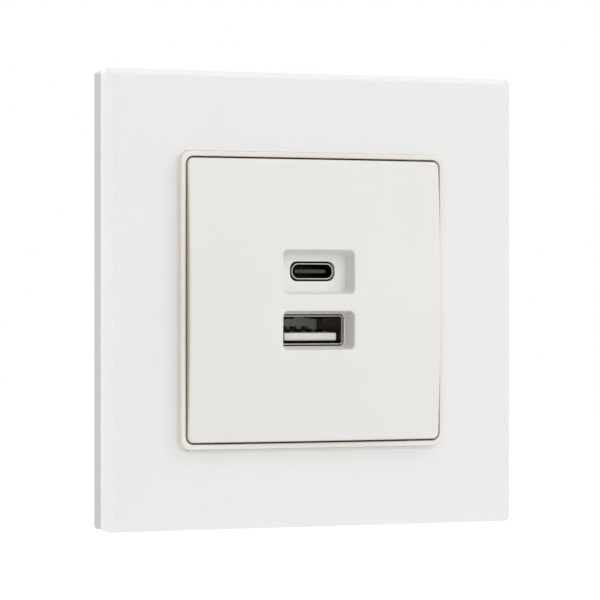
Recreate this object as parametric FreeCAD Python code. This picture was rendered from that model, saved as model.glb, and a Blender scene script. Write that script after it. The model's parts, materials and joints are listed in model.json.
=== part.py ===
import FreeCAD, Part
import math
import os

# Flush-mounted USB wall socket with a glass frame. Millimetres, Z up. The wall is the plane Y = 0:
# the face looks along -Y, the module stands into the wall box along +Y, and X runs to the right.

# Glass frame on the wall: its border is the glass on each side of the hole for the trim ring
frame_border = 14.8
glass_thickness = 2.5
glass_corner_radius = 1.1
glass_bevel_width = 0.8
glass_bevel_depth = 0.4
print_gap = 0.06
tape_thickness = 0.3
tape_inset = 2.4
carrier_depth = 3.94
carrier_inset = 0.4
carrier_corner_cut = 0.4
carrier_wall = 1.8
carrier_web = 1.6
carrier_rim_wall = 1.2
rib_thickness = 1.2
rib_places = (-24.0, 24.0)

# Trim ring in the hole of the glass
ring_corner_radius = 2.0
ring_wall = 1.0
ring_proud = 0.6
ring_edge_chamfer = 0.2
ring_gap = 0.2
ring_foot = 4.6
ring_foot_height = 1.2
ring_peg = 2.4
ring_peg_length = 0.9
ring_hook_place = 16.0
ring_hook_width = 5.0
ring_hook_reach = 0.9
ring_hook_length = 1.1
hooked_sides = (0, 2)

# Centre plate, domed: its crown is how far the middle of its face stands before its corners,
# and its margin is how far it reaches past the top and the foot of the module
plate_margin = 3.65
plate_gap = 0.35
plate_corner_radius = 1.2
plate_edge_proud = 0.2
plate_crown = 1.75
plate_wall = 1.5
plate_skirt_length = 3.5
plate_edge_chamfer = 0.3
window_width = 15.1
window_corner_radius = 1.0
window_edge_chamfer = 0.25
window_sleeve_wall = 1.0
window_taper = 0.6
usb_c_window_height = 8.34
usb_c_window_drop = 0.17
usb_a_window_height = 7.3
usb_a_window_drop = 0.05
plate_rib_gap = 1.0
plate_rib_thickness = 1.0
hook_place = 11.0
hook_width = 4.0
hook_thickness = 1.0
hook_barb = 0.5
hook_barb_length = 1.1

# Module: front cover and housing
module_width = 40.0
module_height = 46.0
module_corner_cut = 5.0
module_wall = 1.5
module_depth = 30.0
module_edge_chamfer = 1.0
port_floor_depth = 6.07
cover_face = 1.6
snap_place = 13.0
snap_width = 5.0
snap_thickness = 1.0
snap_reach = 4.4
snap_barb = 0.8
snap_barb_length = 1.2
ear_width = 12.0
ear_reach = 4.0
ear_thickness = 3.0
cover_ear_reach = 3.2
cover_ear_thickness = 1.4

# Support ring of sheet steel and its screws
steel_thickness = 1.0
support_edge_gap = 5.3
support_corner_cut = 9.0
opening_gap = 0.2
box_screw_spacing = 60.0
box_slot_width = 3.6
box_slot_length = 6.0
box_head_radius = 3.4
box_head_height = 2.2

# Machine screws of 3 mm: threads are left plain here
shank_radius = 1.45
claw_head_radius = 2.5
claw_head_height = 1.8
screw_clearance = 0.05
recess_width = 0.8
recess_depth = 0.8
recess_share = 0.6

# Spreading claws
claw_thickness = 1.2
claw_half_width = 5.4
claw_bend_radius = 0.8
claw_pivot_gap = 1.6
claw_pivot_y = 3.75
claw_arm_inset = 0.6
claw_arm_length = 5.1
claw_leg_end = 16.0
claw_tip_flare = 1.4
claw_tip_y = 20.4
claw_slot_half_width = 1.6
claw_slot_start = 0.7
claw_slot_depth = 3.6
claw_screw_offset = 2.6
claw_screw_reach = 14.0
claw_lug_height = 1.0
claw_lug_play = 0.05
claw_side_gap = 0.3
claw_tooth_depth = 1.5
claw_tooth_pitch = 3.6
ear_tab_half_width = 1.3
ear_window_length = 5.6

# Terminals at the lower rear
terminal_place_x = 8.2
cage_floor_gap = 2.5
cage_top_gap = 0.7
cage_width = 6.8
cage_wall = 0.8
cage_depth = 5.6
cage_head_gap = 2.7
cage_clamp_wall = 1.2
cage_thread_wall = 2.2
wire_gap = 3.9
cage_free_travel = 2.0
cage_side_gap = 0.2
bar_thickness = 1.0
bar_width = 3.8
bar_end_reach = 0.2
bar_tail_inset = 1.4
terminal_tip_gap = 0.05
terminal_head_sink = 0.9
terminal_head_radius = 2.2
terminal_head_height = 1.6
terminal_access_radius = 2.5
wire_entry_width = 3.9
wire_entry_depth = 3.6
guide_wall = 1.0
guide_lead = 1.5

# Boards
port_board_front = 8.6
port_board_thickness = 1.2
port_board_low_gap = 0.3
port_board_top_gap = 1.1
stand_inset = 2.4
stand_width = 2.4
stand_height = 8.0
power_board_thickness = 1.6
power_board_side_gap = 0.7
power_board_low_gap = 1.2
power_board_top_gap = 0.5
power_board_corner_cut = 4.4
post_length = 1.9
spacer_reach = 5.4
spacer_overlap = 1.1
spacer_places = (-8.0, 18.2)
post_side = 3.0
post_place_x = 15.6
post_places_z = (-7.4, 11.0)
solder_reach = 0.6

# Link between the boards
pin_count = 5
pin_pitch = 2.54
pin_side = 0.64
pin_gap = 0.1
header_x = 5.4
header_inset = 2.8
header_height = 2.5

# How far the rims of both shells lie behind the floor of the windows
shell_setback = 0.1

# Lower port, type A
usb_a_z = -5.65
usb_a_width = 13.1
usb_a_height = 5.7
usb_a_sheet = 0.35
usb_a_corner_radius = 0.6
usb_a_gap = 0.19
usb_a_opening_radius = 0.8
usb_a_block_start = 4.2
usb_a_fit_gap = 0.05
tongue_width = 11.1
tongue_thickness = 1.55
tongue_floor_gap = 0.45
tongue_recess = 0.8
contact_places = (-3.5, -1.0, 1.0, 3.5)
contact_width = 1.1
contact_thickness = 0.25
contact_bump = 0.5
contact_tip_inset = 0.8
contact_slot_width = 1.5
contact_slot_height = 1.1
latch_place = 3.1
latch_width = 2.4
latch_start = 3.5
latch_length = 6.0
latch_slit = 0.35
latch_bend = 0.45
leg_width = 1.4
leg_place = 1.6
leg_gap = 0.3

# Upper port, type C
usb_c_z = 5.5
usb_c_width = 8.94
usb_c_height = 3.16
usb_c_sheet = 0.31
usb_c_gap = 0.3
usb_c_opening_radius = 1.4
usb_c_block_start = 1.6
usb_c_tongue_width = 6.69
usb_c_tongue_thickness = 0.7
usb_c_tongue_recess = 0.9
usb_c_contact_count = 8
usb_c_contact_pitch = 0.75
usb_c_contact_width = 0.26
usb_c_contact_thickness = 0.06

# Parts on the boards: places are (X, Z)
transformer_at = (5.6, 9.4)
core_width = 13.2
core_gap = 2.1
core_depth = 6.0
core_leg = 2.0
core_centre_leg = 3.6
core_yoke = 2.2
bobbin_wall = 0.6
bobbin_flange = 0.7
bobbin_flange_width = 9.2
bobbin_flange_depth = 11.6
winding_width = 8.6
winding_depth = 9.8
input_capacitor_radius = 4.0
input_capacitor_gap = 3.2
input_capacitor_places = ((-12.0, 12.2), (-12.0, 3.9))
output_capacitor_radius = 2.6
output_capacitor_height = 9.0
output_capacitor_places = ((14.6, 1.2),)
choke_at = (-3.2, -2.6)
choke_side = 6.2
choke_height = 7.0
choke_flange = 1.0
choke_waist = 0.5
fuse_at = (-11.8, -4.2)
fuse_size = (8.4, 7.6, 4.0)
fuse_edge = 0.5
y_capacitor_at = (6.0, 1.2)
y_capacitor_radius = 3.3
y_capacitor_thickness = 2.6
bridge_at = (-4.4, 16.4)
bridge_size = (4.7, 1.5, 4.0)
optocoupler_at = (3.4, -6.6)
optocoupler_size = (4.6, 3.2, 6.4)
converter_chip_at = (-4.5, 5.4)
converter_chip_size = (3.9, 1.5, 4.9)
rectifier_chip_at = (8.7, -4.6)
rectifier_chip_size = (4.9, 1.5, 3.9)
charge_chip_at = (0.0, 0.6)
charge_chip_size = (5.0, 0.9, 5.0)
chip_leg_width = 0.5
few_legs = 2
many_legs = 4
chip_leg_reach = 0.9
chip_leg_thickness = 0.25

# How far a cutting body runs past the face that it opens
over_cut = 1.0

# Sine of the gentlest bend in a strip of sheet that gets a rounded edge
least_rounded_turn = 0.6

# Places along Y that follow from the sizes above
carrier_front = -carrier_depth
glass_back = carrier_front - print_gap
glass_front = glass_back - glass_thickness
ring_front = glass_front - ring_proud
plate_edge_front = ring_front - plate_edge_proud
plate_front = plate_edge_front - plate_crown
plate_back = plate_edge_front + plate_skirt_length
cover_front = -port_floor_depth
shell_front = cover_front + shell_setback
steel_front = -steel_thickness
housing_back_inner = module_depth - module_wall
port_board_back = port_board_front + port_board_thickness
power_board_back = housing_back_inner - post_length
power_board_front = power_board_back - power_board_thickness
core_back = power_board_front - bobbin_flange
core_front = port_board_back + core_gap
terminal_head_start = module_depth - terminal_head_sink - terminal_head_height
cage_back = terminal_head_start - cage_head_gap
cage_inner_back = cage_back - cage_thread_wall
cage_bar_back = cage_inner_back - cage_free_travel
cage_bar_front = cage_bar_back - bar_thickness
cage_inner_front = cage_bar_front - wire_gap
cage_front = cage_inner_front - cage_clamp_wall
guide_front = cage_front - guide_lead

# Outlines that follow from the sizes above
plate_side = module_height + 2 * plate_margin
ring_inner_side = plate_side + 2 * plate_gap
ring_inner_radius = plate_corner_radius + plate_gap
ring_side = ring_inner_side + 2 * ring_wall
glass_hole_side = ring_side + 2 * ring_gap
glass_hole_radius = ring_corner_radius + ring_gap
frame_side = glass_hole_side + 2 * frame_border
carrier_inner_side = frame_side - 2 * (carrier_inset + carrier_wall)
support_side = carrier_inner_side - 2 * support_edge_gap
module_inner_half_width = module_width / 2 - module_wall
module_inner_half_height = module_height / 2 - module_wall

# Places along X and Z that follow from the sizes above
claw_pivot_x = module_width / 2 + claw_pivot_gap
claw_leg_x = claw_pivot_x + claw_arm_length
claw_tip_x = claw_leg_x + claw_tip_flare
claw_screw_x = claw_pivot_x + claw_screw_offset
terminal_place_z = cage_depth / 2 + cage_floor_gap - module_inner_half_height
partition_z = terminal_place_z + cage_depth / 2 + cage_top_gap + guide_wall / 2
bar_end_z = terminal_place_z - cage_depth / 2 - bar_end_reach
port_board_half_width = module_inner_half_width - spacer_reach + spacer_overlap
port_board_low = partition_z + guide_wall / 2 + port_board_low_gap
port_board_top = module_inner_half_height - port_board_top_gap
power_board_half_width = module_inner_half_width - power_board_side_gap
power_board_low = partition_z + guide_wall / 2 + power_board_low_gap
power_board_top = module_inner_half_height - power_board_top_gap
bar_tail_z = power_board_low + bar_tail_inset
header_z = power_board_top - header_inset
stand_place = port_board_half_width - stand_inset


def vec(x, y, z):
    return FreeCAD.Vector(x, y, z)


def rounded_wire(width, height, radius, y, x=0.0, z=0.0):
    """Closed outline of a rectangle in the plane at y, centred on x and z, rounded if it has a radius."""
    half_w, half_h = width / 2, height / 2
    if not radius:
        ends = [vec(x + sx * half_w, y, z + sz * half_h) for sx, sz in ((1, 1), (-1, 1), (-1, -1), (1, -1))]
        return Part.makePolygon(ends + ends[:1])
    in_w, in_h = half_w - radius, half_h - radius
    edges = []
    diagonal = radius * math.sqrt(0.5)
    turns = ((1, 1), (-1, 1), (-1, -1), (1, -1))
    for index, (sx, sz) in enumerate(turns):
        centre_x, centre_z = x + sx * in_w, z + sz * in_h
        side = vec(centre_x + sx * radius, y, centre_z)
        end = vec(centre_x, y, centre_z + sz * radius)
        middle = vec(centre_x + sx * diagonal, y, centre_z + sz * diagonal)
        start, stop = (side, end) if sx * sz > 0 else (end, side)
        if edges and (edges[-1].valueAt(edges[-1].LastParameter) - start).Length > Part.Precision.confusion():
            edges.append(Part.makeLine(edges[-1].valueAt(edges[-1].LastParameter), start))
        edges.append(Part.Arc(start, middle, stop).toShape())
    first = edges[0].valueAt(edges[0].FirstParameter)
    last = edges[-1].valueAt(edges[-1].LastParameter)
    if (first - last).Length > Part.Precision.confusion():
        edges.append(Part.makeLine(last, first))
    return Part.Wire(edges)


def prism(width, height, radius, y_from, y_to, x=0.0, z=0.0):
    """Rounded square bar along Y."""
    face = Part.Face(rounded_wire(width, height, radius, y_from, x, z))
    return face.extrude(vec(0, y_to - y_from, 0))


def block(x_from, x_to, y_from, y_to, z_from, z_to):
    """Straight box between its low and high sides."""
    return Part.makeBox(x_to - x_from, y_to - y_from, z_to - z_from, vec(x_from, y_from, z_from))


def centred_block(width, height, y_from, y_to, x, z):
    """Box along Y, centred on x and z."""
    return block(x - width / 2, x + width / 2, y_from, y_to, z - height / 2, z + height / 2)


def cut_corner_prism(width, height, cut, y_from, y_to, x=0.0, z=0.0):
    """Square bar along Y whose corners are cut off straight."""
    half_w, half_h = width / 2, height / 2
    outline = [(half_w, half_h - cut), (half_w - cut, half_h), (cut - half_w, half_h),
               (-half_w, half_h - cut), (-half_w, cut - half_h), (cut - half_w, -half_h),
               (half_w - cut, -half_h), (half_w, cut - half_h)]
    points = [vec(x + px, y_from, z + pz) for px, pz in outline]
    return Part.Face(Part.makePolygon(points + points[:1])).extrude(vec(0, y_to - y_from, 0))


def rod(radius, y_from, y_to, x=0.0, z=0.0):
    """Round bar along Y."""
    return Part.makeCylinder(radius, y_to - y_from, vec(x, y_from, z), vec(0, 1, 0))


def tapered(side_from, radius_from, y_from, side_to, radius_to, y_to):
    """Square frustum with rounded corners, for bevels and arrises."""
    wires = [
        rounded_wire(side_from, side_from, radius_from, y_from),
        rounded_wire(side_to, side_to, radius_to, y_to),
    ]
    return Part.makeLoft(wires, True, True)


def joined(shapes):
    """One solid from shapes that touch or overlap."""
    return shapes[0].fuse(list(shapes[1:])).removeSplitter()


def mirrored(shape):
    """The same shape on the other side of the plane X = 0."""
    return shape.mirror(vec(0, 0, 0), vec(1, 0, 0))


def quarter_turns(shape, turns=(0, 1, 2, 3)):
    """Copies of a shape turned about the Y axis by quarters."""
    copies = []
    for turn in turns:
        copy = shape.copy()
        copy.rotate(vec(0, 0, 0), vec(0, 1, 0), 90 * turn)
        copies.append(copy)
    return copies


def corners(half_x, half_z):
    """The four points at plus and minus half_x and half_z."""
    return [(sx * half_x, sz * half_z) for sx in (-1, 1) for sz in (-1, 1)]


def strip(path, thickness, bend_radius, z_from, z_to):
    """Bent strip of sheet that follows a path in X and Y, as wide as z_from to z_to."""
    half = thickness / 2
    units = []
    for (x0, y0), (x1, y1) in zip(path, path[1:]):
        length = math.hypot(x1 - x0, y1 - y0)
        units.append(((x1 - x0) / length, (y1 - y0) / length))
    left, right = [], []
    for index, (x, y) in enumerate(path):
        before = units[max(index - 1, 0)]
        after = units[min(index, len(units) - 1)]
        share = half / (1 + before[0] * after[0] + before[1] * after[1])
        shift_x, shift_y = -(before[1] + after[1]) * share, (before[0] + after[0]) * share
        left.append((x + shift_x, y + shift_y))
        right.append((x - shift_x, y - shift_y))
    outline = left + right[::-1]
    points = [vec(x, y, z_from) for x, y in outline]
    solid = Part.Face(Part.makePolygon(points + points[:1])).extrude(vec(0, 0, z_to - z_from))
    for index in range(1, len(path) - 1):
        before, after = units[index - 1], units[index]
        turn = before[0] * after[1] - before[1] * after[0]
        if abs(turn) < least_rounded_turn or not bend_radius:
            continue
        inner, outer = (left, right) if turn > 0 else (right, left)
        for (x, y), radius in ((inner[index], bend_radius), (outer[index], bend_radius + thickness)):
            edges = upright_edges(solid, x, y)
            solid = solid.makeFillet(radius, edges)
    return solid


def upright_edges(solid, x, y):
    """Edges along Z that pass through x and y."""
    found = []
    for edge in solid.Edges:
        ends = [vertex.Point for vertex in edge.Vertexes]
        if all(math.hypot(end.x - x, end.y - y) < screw_clearance for end in ends):
            found.append(edge)
    return found


def screw(x, z, seat, way, reach, head_radius, head_height, cross=True):
    """Screw along Y: its head stands on the seat, and its shank runs from there along way (1 or -1)."""
    head = Part.makeCylinder(head_radius, head_height, vec(x, seat, z), vec(0, -way, 0))
    top = seat - way * head_height
    low, high = sorted((top - way * over_cut, top + way * recess_depth))
    slot_length = 2 * head_radius * (recess_share if cross else 1) + (0 if cross else over_cut)
    recess = centred_block(recess_width, slot_length, low, high, x, z)
    head = head.cut(recess)
    if cross:
        head = head.cut(centred_block(slot_length, recess_width, low, high, x, z))
    shank = Part.makeCylinder(shank_radius, reach, vec(x, seat, z), vec(0, way, 0))
    return joined([head, shank])


def glass_plate():
    body = prism(frame_side, frame_side, glass_corner_radius, glass_front + glass_bevel_depth, glass_back)
    bevel = tapered(frame_side - 2 * glass_bevel_width, glass_corner_radius / 2, glass_front,
                    frame_side, glass_corner_radius, glass_front + glass_bevel_depth)
    hole = prism(glass_hole_side, glass_hole_side, glass_hole_radius, glass_front - over_cut,
                 glass_back + over_cut)
    return joined([body, bevel]).cut(hole)


def tape_outline(grow, y_from, y_to):
    """Square frame of the tape, grown by a gap all round."""
    outer = frame_side - 2 * tape_inset + 2 * grow
    inner = glass_hole_side + 2 * (carrier_rim_wall + tape_inset) - 2 * grow
    sheet = centred_block(outer, outer, y_from, y_to, 0, 0)
    return sheet.cut(centred_block(inner, inner, y_from - over_cut, y_to + over_cut, 0, 0))


def glass_adhesive():
    return tape_outline(0, carrier_front, carrier_front + tape_thickness)


def frame_carrier():
    outer = frame_side - 2 * carrier_inset
    inner = carrier_inner_side
    rim_outer = glass_hole_side + 2 * carrier_rim_wall
    web_back = carrier_front + carrier_web
    shell = cut_corner_prism(outer, outer, carrier_corner_cut, carrier_front, 0)
    shell = shell.cut(centred_block(inner, inner, web_back, over_cut, 0, 0))
    rim = cut_corner_prism(rim_outer, rim_outer, glass_hole_radius, web_back, steel_front)
    ribs = []
    rib_inner = glass_hole_side / 2 + carrier_rim_wall / 2
    rib_step = support_side / 2 + 2 * opening_gap
    for place in rib_places:
        low, high = place - rib_thickness / 2, place + rib_thickness / 2
        over_ring = block(low, high, web_back, steel_front - opening_gap, rib_inner, rib_step + over_cut)
        beside_ring = block(low, high, web_back, -2 * opening_gap, rib_step, inner / 2 + carrier_wall / 2)
        ribs += quarter_turns(joined([over_ring, beside_ring]))
    body = joined([shell, rim] + ribs)
    body = body.cut(prism(glass_hole_side, glass_hole_side, glass_hole_radius, carrier_front - over_cut,
                          over_cut))
    body = body.cut(tape_outline(screw_clearance, carrier_front - over_cut, carrier_front + tape_thickness))
    head_reach = box_screw_spacing / 2 + box_head_radius + opening_gap
    for side in (-1, 1):
        low, high = sorted((side * ring_side / 2, side * head_reach))
        body = body.cut(block(low, high, carrier_front - over_cut, over_cut, -box_head_radius,
                              box_head_radius))
    window_half = ring_hook_width / 2 + opening_gap
    for place in (-ring_hook_place, ring_hook_place):
        window = block(ring_side / 2, rim_outer / 2 + over_cut, web_back, over_cut,
                       place - window_half, place + window_half)
        body = body.cut(quarter_turns(window, hooked_sides))
    return body


def trim_ring():
    wall = prism(ring_side, ring_side, ring_corner_radius, ring_front, steel_front)
    hollow = prism(ring_inner_side, ring_inner_side, ring_inner_radius, ring_front - over_cut, over_cut)
    wall = wall.cut(hollow)
    front_edges = [e for e in wall.Edges if all(abs(v.Point.y - ring_front) < screw_clearance
                                                for v in e.Vertexes)]
    front_edges = [e for e in front_edges if max(abs(e.CenterOfMass.x), abs(e.CenterOfMass.z))
                   > (ring_side + ring_inner_side) / 4]
    wall = wall.makeChamfer(ring_edge_chamfer, front_edges)
    half = ring_inner_side / 2
    foot_low = half - ring_foot
    foot = Part.Face(Part.makePolygon([vec(half, steel_front, foot_low), vec(half, steel_front, half),
                                       vec(foot_low, steel_front, half), vec(half, steel_front, foot_low)]))
    feet = foot.extrude(vec(0, -ring_foot_height, 0))
    feet = joined([feet, feet.mirror(vec(0, 0, 0), vec(1, 0, 0))])
    feet = feet.common(prism(ring_side - ring_wall, ring_side - ring_wall, ring_corner_radius,
                             steel_front - ring_foot_height, steel_front))
    peg_place = peg_centre()
    pegs = [centred_block(ring_peg, ring_peg, steel_front - ring_foot_height / 2,
                          steel_front + ring_peg_length, sx, sz)
            for sx, sz in corners(peg_place, peg_place)]
    hook_front = carrier_front + carrier_web + screw_clearance
    profile = [vec(half, hook_front, 0), vec(ring_side / 2 + ring_hook_reach, hook_front, 0),
               vec(ring_side / 2, hook_front + ring_hook_length, 0),
               vec(half, hook_front + ring_hook_length, 0)]
    profile = [vec(p.x + ring_wall / 2 if p.x == half else p.x, p.y, -ring_hook_width / 2) for p in profile]
    hook = Part.Face(Part.makePolygon(profile + profile[:1])).extrude(vec(0, 0, ring_hook_width))
    hooks = []
    for place in (-ring_hook_place, ring_hook_place):
        moved = hook.copy()
        moved.translate(vec(0, 0, place))
        hooks += quarter_turns(moved, hooked_sides)
    solids = [wall] + quarter_turns(feet, (0, 2)) + pegs + hooks
    body = joined(solids)
    notch_front = steel_front - box_head_height - opening_gap
    notch = block(half - over_cut, ring_side / 2 + over_cut, notch_front, over_cut, -box_head_radius,
                  box_head_radius)
    return body.cut(quarter_turns(notch))


def peg_centre():
    """Distance of the trim ring's pegs from the centre, along X and along Z."""
    return ring_inner_side / 2 - ring_peg / 2 - ring_wall


def dome(drop):
    """Ball whose skin is the domed face of the plate, or lies drop behind it."""
    reach = plate_side / math.sqrt(2)
    radius = (reach ** 2 + plate_crown ** 2) / (2 * plate_crown)
    return Part.makeSphere(radius - drop, vec(0, plate_front + radius, 0))


def crowned(side, radius, drop, back):
    """Square pad with a domed front that lies drop behind the plate's face."""
    return prism(side, side, radius, plate_front - over_cut, back).common(dome(drop))


def windows():
    """Height and centre of the two windows at the face of the plate."""
    return ((usb_c_window_height, usb_c_z - usb_c_window_drop),
            (usb_a_window_height, usb_a_z - usb_a_window_drop))


def window_bar(height, z, back, radius, grow=0.0):
    """Bar through the plate that narrows from its face to its floor: a window, or the sleeve round it."""
    slope = window_taper / (cover_front - plate_front)
    wires = []
    for y in (plate_front - over_cut, back):
        change = 2 * (grow - slope * (y - plate_front))
        wires.append(rounded_wire(window_width + change, height + change, radius, y, 0, z))
    return Part.makeLoft(wires, True, True)


def centre_plate():
    outer = crowned(plate_side, plate_corner_radius, 0, plate_back)
    rim = front_boundary(outer, plate_side / 2 - plate_corner_radius - over_cut)
    outer = outer.makeChamfer(plate_edge_chamfer, rim)
    inner_side = plate_side - 2 * plate_wall
    shell = outer.cut(crowned(inner_side, 0, plate_wall, plate_back + over_cut))
    inside = crowned(plate_side - plate_wall, 0, plate_wall / 2, over_cut)
    sleeves = [window_bar(height, z, cover_front, 0, window_sleeve_wall) for height, z in windows()]
    reach = inner_side / 2 + plate_wall / 2
    rib_low = module_width / 2 + plate_rib_gap
    ribs = [block(x_from, x_from + plate_rib_thickness, plate_front, plate_back, -reach, reach)
            for x_from in (rib_low, -rib_low - plate_rib_thickness)]
    body = joined([shell] + [solid.common(inside) for solid in sleeves + ribs + plate_hooks()])
    for height, z in windows():
        body = body.cut(window_bar(height, z, cover_front + over_cut, window_corner_radius))
    return body.makeChamfer(window_edge_chamfer, window_rims(body))


def front_boundary(solid, reach):
    """Edges round the front of the bowed plate, further out than reach."""
    found = []
    for edge in solid.Edges:
        middle = edge.valueAt((edge.FirstParameter + edge.LastParameter) / 2)
        ends = [vertex.Point for vertex in edge.Vertexes]
        on_front = all(end.y < plate_edge_front + screw_clearance for end in ends)
        if on_front and max(abs(middle.x), abs(middle.z)) > reach:
            found.append(edge)
    return found


def window_rims(solid):
    """Edges where the windows meet the bowed front."""
    found = []
    half = window_width / 2 + screw_clearance
    for edge in solid.Edges:
        ends = [vertex.Point for vertex in edge.Vertexes]
        inside = all(abs(end.x) < half and abs(end.z) < window_width for end in ends)
        if inside and all(end.y < plate_edge_front - plate_edge_chamfer for end in ends):
            found.append(edge)
    return found


def plate_hooks():
    """Snap hooks on the rear of the centre plate, which grip the module above and below."""
    hooks = []
    inner = module_height / 2 + screw_clearance
    front = plate_front
    groove = hook_groove()
    for side in (-1, 1):
        for place in (-hook_place, hook_place):
            points = [(inner, front), (inner, groove[0] + screw_clearance),
                      (inner - hook_barb, groove[0] + screw_clearance),
                      (inner, groove[0] + hook_barb_length),
                      (inner, groove[1]), (inner + hook_thickness, groove[1]),
                      (inner + hook_thickness, front)]
            outline = [vec(place - hook_width / 2, y, side * z) for z, y in points]
            face = Part.Face(Part.makePolygon(outline + outline[:1]))
            hooks.append(face.extrude(vec(hook_width, 0, 0)))
    return hooks


def hook_groove():
    """Front and back of the groove in the module that the snap hooks grip."""
    back = steel_front - opening_gap
    return back - 2 * hook_barb_length, back


def port_opening(width, height, radius, gap, z):
    """Hole in the front cover round a port shell."""
    return prism(width + 2 * gap, height + 2 * gap, radius, cover_front - over_cut,
                 cover_front + cover_face + over_cut, 0, z)


def snap_tongues():
    """Tongues of the front cover that reach into the housing, with barbs that catch in its windows."""
    outer = module_inner_half_width - screw_clearance
    inner = outer - snap_thickness
    front = cover_front + cover_face / 2
    catch = snap_reach - snap_barb_length
    tongues = []
    for side in (-1, 1):
        for place in (-snap_place, snap_place):
            points = [(inner, front), (outer, front), (outer, catch), (outer + snap_barb, catch),
                      (outer, snap_reach), (inner, snap_reach)]
            outline = [vec(side * x, y, place - snap_width / 2) for x, y in points]
            face = Part.Face(Part.makePolygon(outline + outline[:1]))
            tongues.append(face.extrude(vec(0, 0, snap_width)))
    return tongues


def ears(reach, y_from, y_to):
    """Ears above and below the module, between which the support ring is clamped."""
    found = []
    for side in (-1, 1):
        low, high = sorted((side * (module_height / 2 - module_wall / 2),
                            side * (module_height / 2 + reach)))
        found.append(block(-ear_width / 2, ear_width / 2, y_from, y_to, low, high))
    return found


def front_cover():
    outer = cut_corner_prism(module_width, module_height, module_corner_cut, cover_front, 0)
    hollow = cut_corner_prism(2 * module_inner_half_width, 2 * module_inner_half_height, module_corner_cut,
                              cover_front + cover_face, over_cut)
    stands = [centred_block(stand_width, stand_height, cover_front + cover_face / 2, port_board_front, x, 0)
              for x in (-stand_place, stand_place)]
    body = joined([outer.cut(hollow)] + stands + snap_tongues()
                  + ears(cover_ear_reach, steel_front - cover_ear_thickness, steel_front))
    body = body.cut(port_opening(usb_c_width, usb_c_height, usb_c_opening_radius, usb_c_gap, usb_c_z))
    body = body.cut(port_opening(usb_a_width, usb_a_height, usb_a_opening_radius, usb_a_gap, usb_a_z))
    groove_front, groove_back = hook_groove()
    for side in (-1, 1):
        for place in (-hook_place, hook_place):
            low, high = sorted((side * (module_height / 2 - hook_barb), side * module_height))
            half = hook_width / 2 + opening_gap
            body = body.cut(block(place - half, place + half, groove_front, groove_back, low, high))
    return body


def terminal_guides():
    """Partition over the terminals and the walls between which the cages slide."""
    inner_half = module_width / 2 - module_wall / 2
    floor = -module_height / 2 + module_wall / 2
    back = housing_back_inner + module_wall / 2
    walls = [block(-inner_half, inner_half, guide_front, back, partition_z - guide_wall / 2,
                   partition_z + guide_wall / 2)]
    for side in (-1, 1):
        for edge in (-1, 1):
            face = side * terminal_place_x + edge * (cage_width / 2 + cage_side_gap)
            low, high = sorted((face, face + edge * guide_wall))
            walls.append(block(low, high, guide_front, back, floor, partition_z))
    return walls


def board_supports():
    """Ribs that hold the boards apart and posts behind the power board."""
    solids = []
    for side in (-1, 1):
        low, high = sorted((side * (module_width / 2 - module_wall / 2),
                            side * (module_inner_half_width - spacer_reach)))
        for place in spacer_places:
            solids.append(block(low, high, port_board_back, power_board_front, place - rib_thickness / 2,
                                place + rib_thickness / 2))
        for place in post_places_z:
            solids.append(centred_block(post_side, post_side, power_board_back,
                                        housing_back_inner + module_wall / 2, side * post_place_x, place))
    return solids


def module_housing():
    outer = cut_corner_prism(module_width, module_height, module_corner_cut, 0, module_depth)
    back_edges = [e for e in outer.Edges if all(abs(v.Point.y - module_depth) < screw_clearance
                                                for v in e.Vertexes)]
    outer = outer.makeChamfer(module_edge_chamfer, back_edges)
    hollow = cut_corner_prism(2 * module_inner_half_width, 2 * module_inner_half_height, module_corner_cut,
                              -over_cut, housing_back_inner)
    inside = cut_corner_prism(module_width - module_wall, module_height - module_wall, module_corner_cut,
                              0, module_depth)
    supports = [solid.common(inside) for solid in terminal_guides() + board_supports()]
    body = joined([outer.cut(hollow)] + supports + ears(ear_reach, 0, ear_thickness))
    catch = snap_reach - snap_barb_length
    for side in (-1, 1):
        low, high = sorted((side * (module_inner_half_width - over_cut), side * module_width))
        for place in (-snap_place, snap_place):
            half = snap_width / 2 + opening_gap
            body = body.cut(block(low, high, catch - screw_clearance, snap_reach + opening_gap,
                                  place - half, place + half))
        body = body.cut(rod(terminal_access_radius, housing_back_inner - over_cut,
                            module_depth + over_cut, side * terminal_place_x, terminal_place_z))
        body = body.cut(wire_entry(side))
        bar_slot = centred_block(bar_width + 2 * cage_side_gap, 2 * guide_wall,
                                 cage_bar_front, cage_bar_back + cage_side_gap,
                                 side * terminal_place_x, partition_z)
        body = body.cut(bar_slot)
    return body


def wire_entry(side):
    """Square hole in the underside through which a mains wire goes into its cage."""
    x = side * terminal_place_x
    middle = cage_inner_front + wire_gap / 2
    return block(x - wire_entry_width / 2, x + wire_entry_width / 2, middle - wire_entry_depth / 2,
                 middle + wire_entry_depth / 2, -module_height, -module_inner_half_height + over_cut)


def box_slot(side):
    """Slot for a wall-box screw, with round ends."""
    return prism(box_slot_length, box_slot_width, box_slot_width / 2, steel_front - over_cut, over_cut,
                 side * box_screw_spacing / 2, 0)


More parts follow.
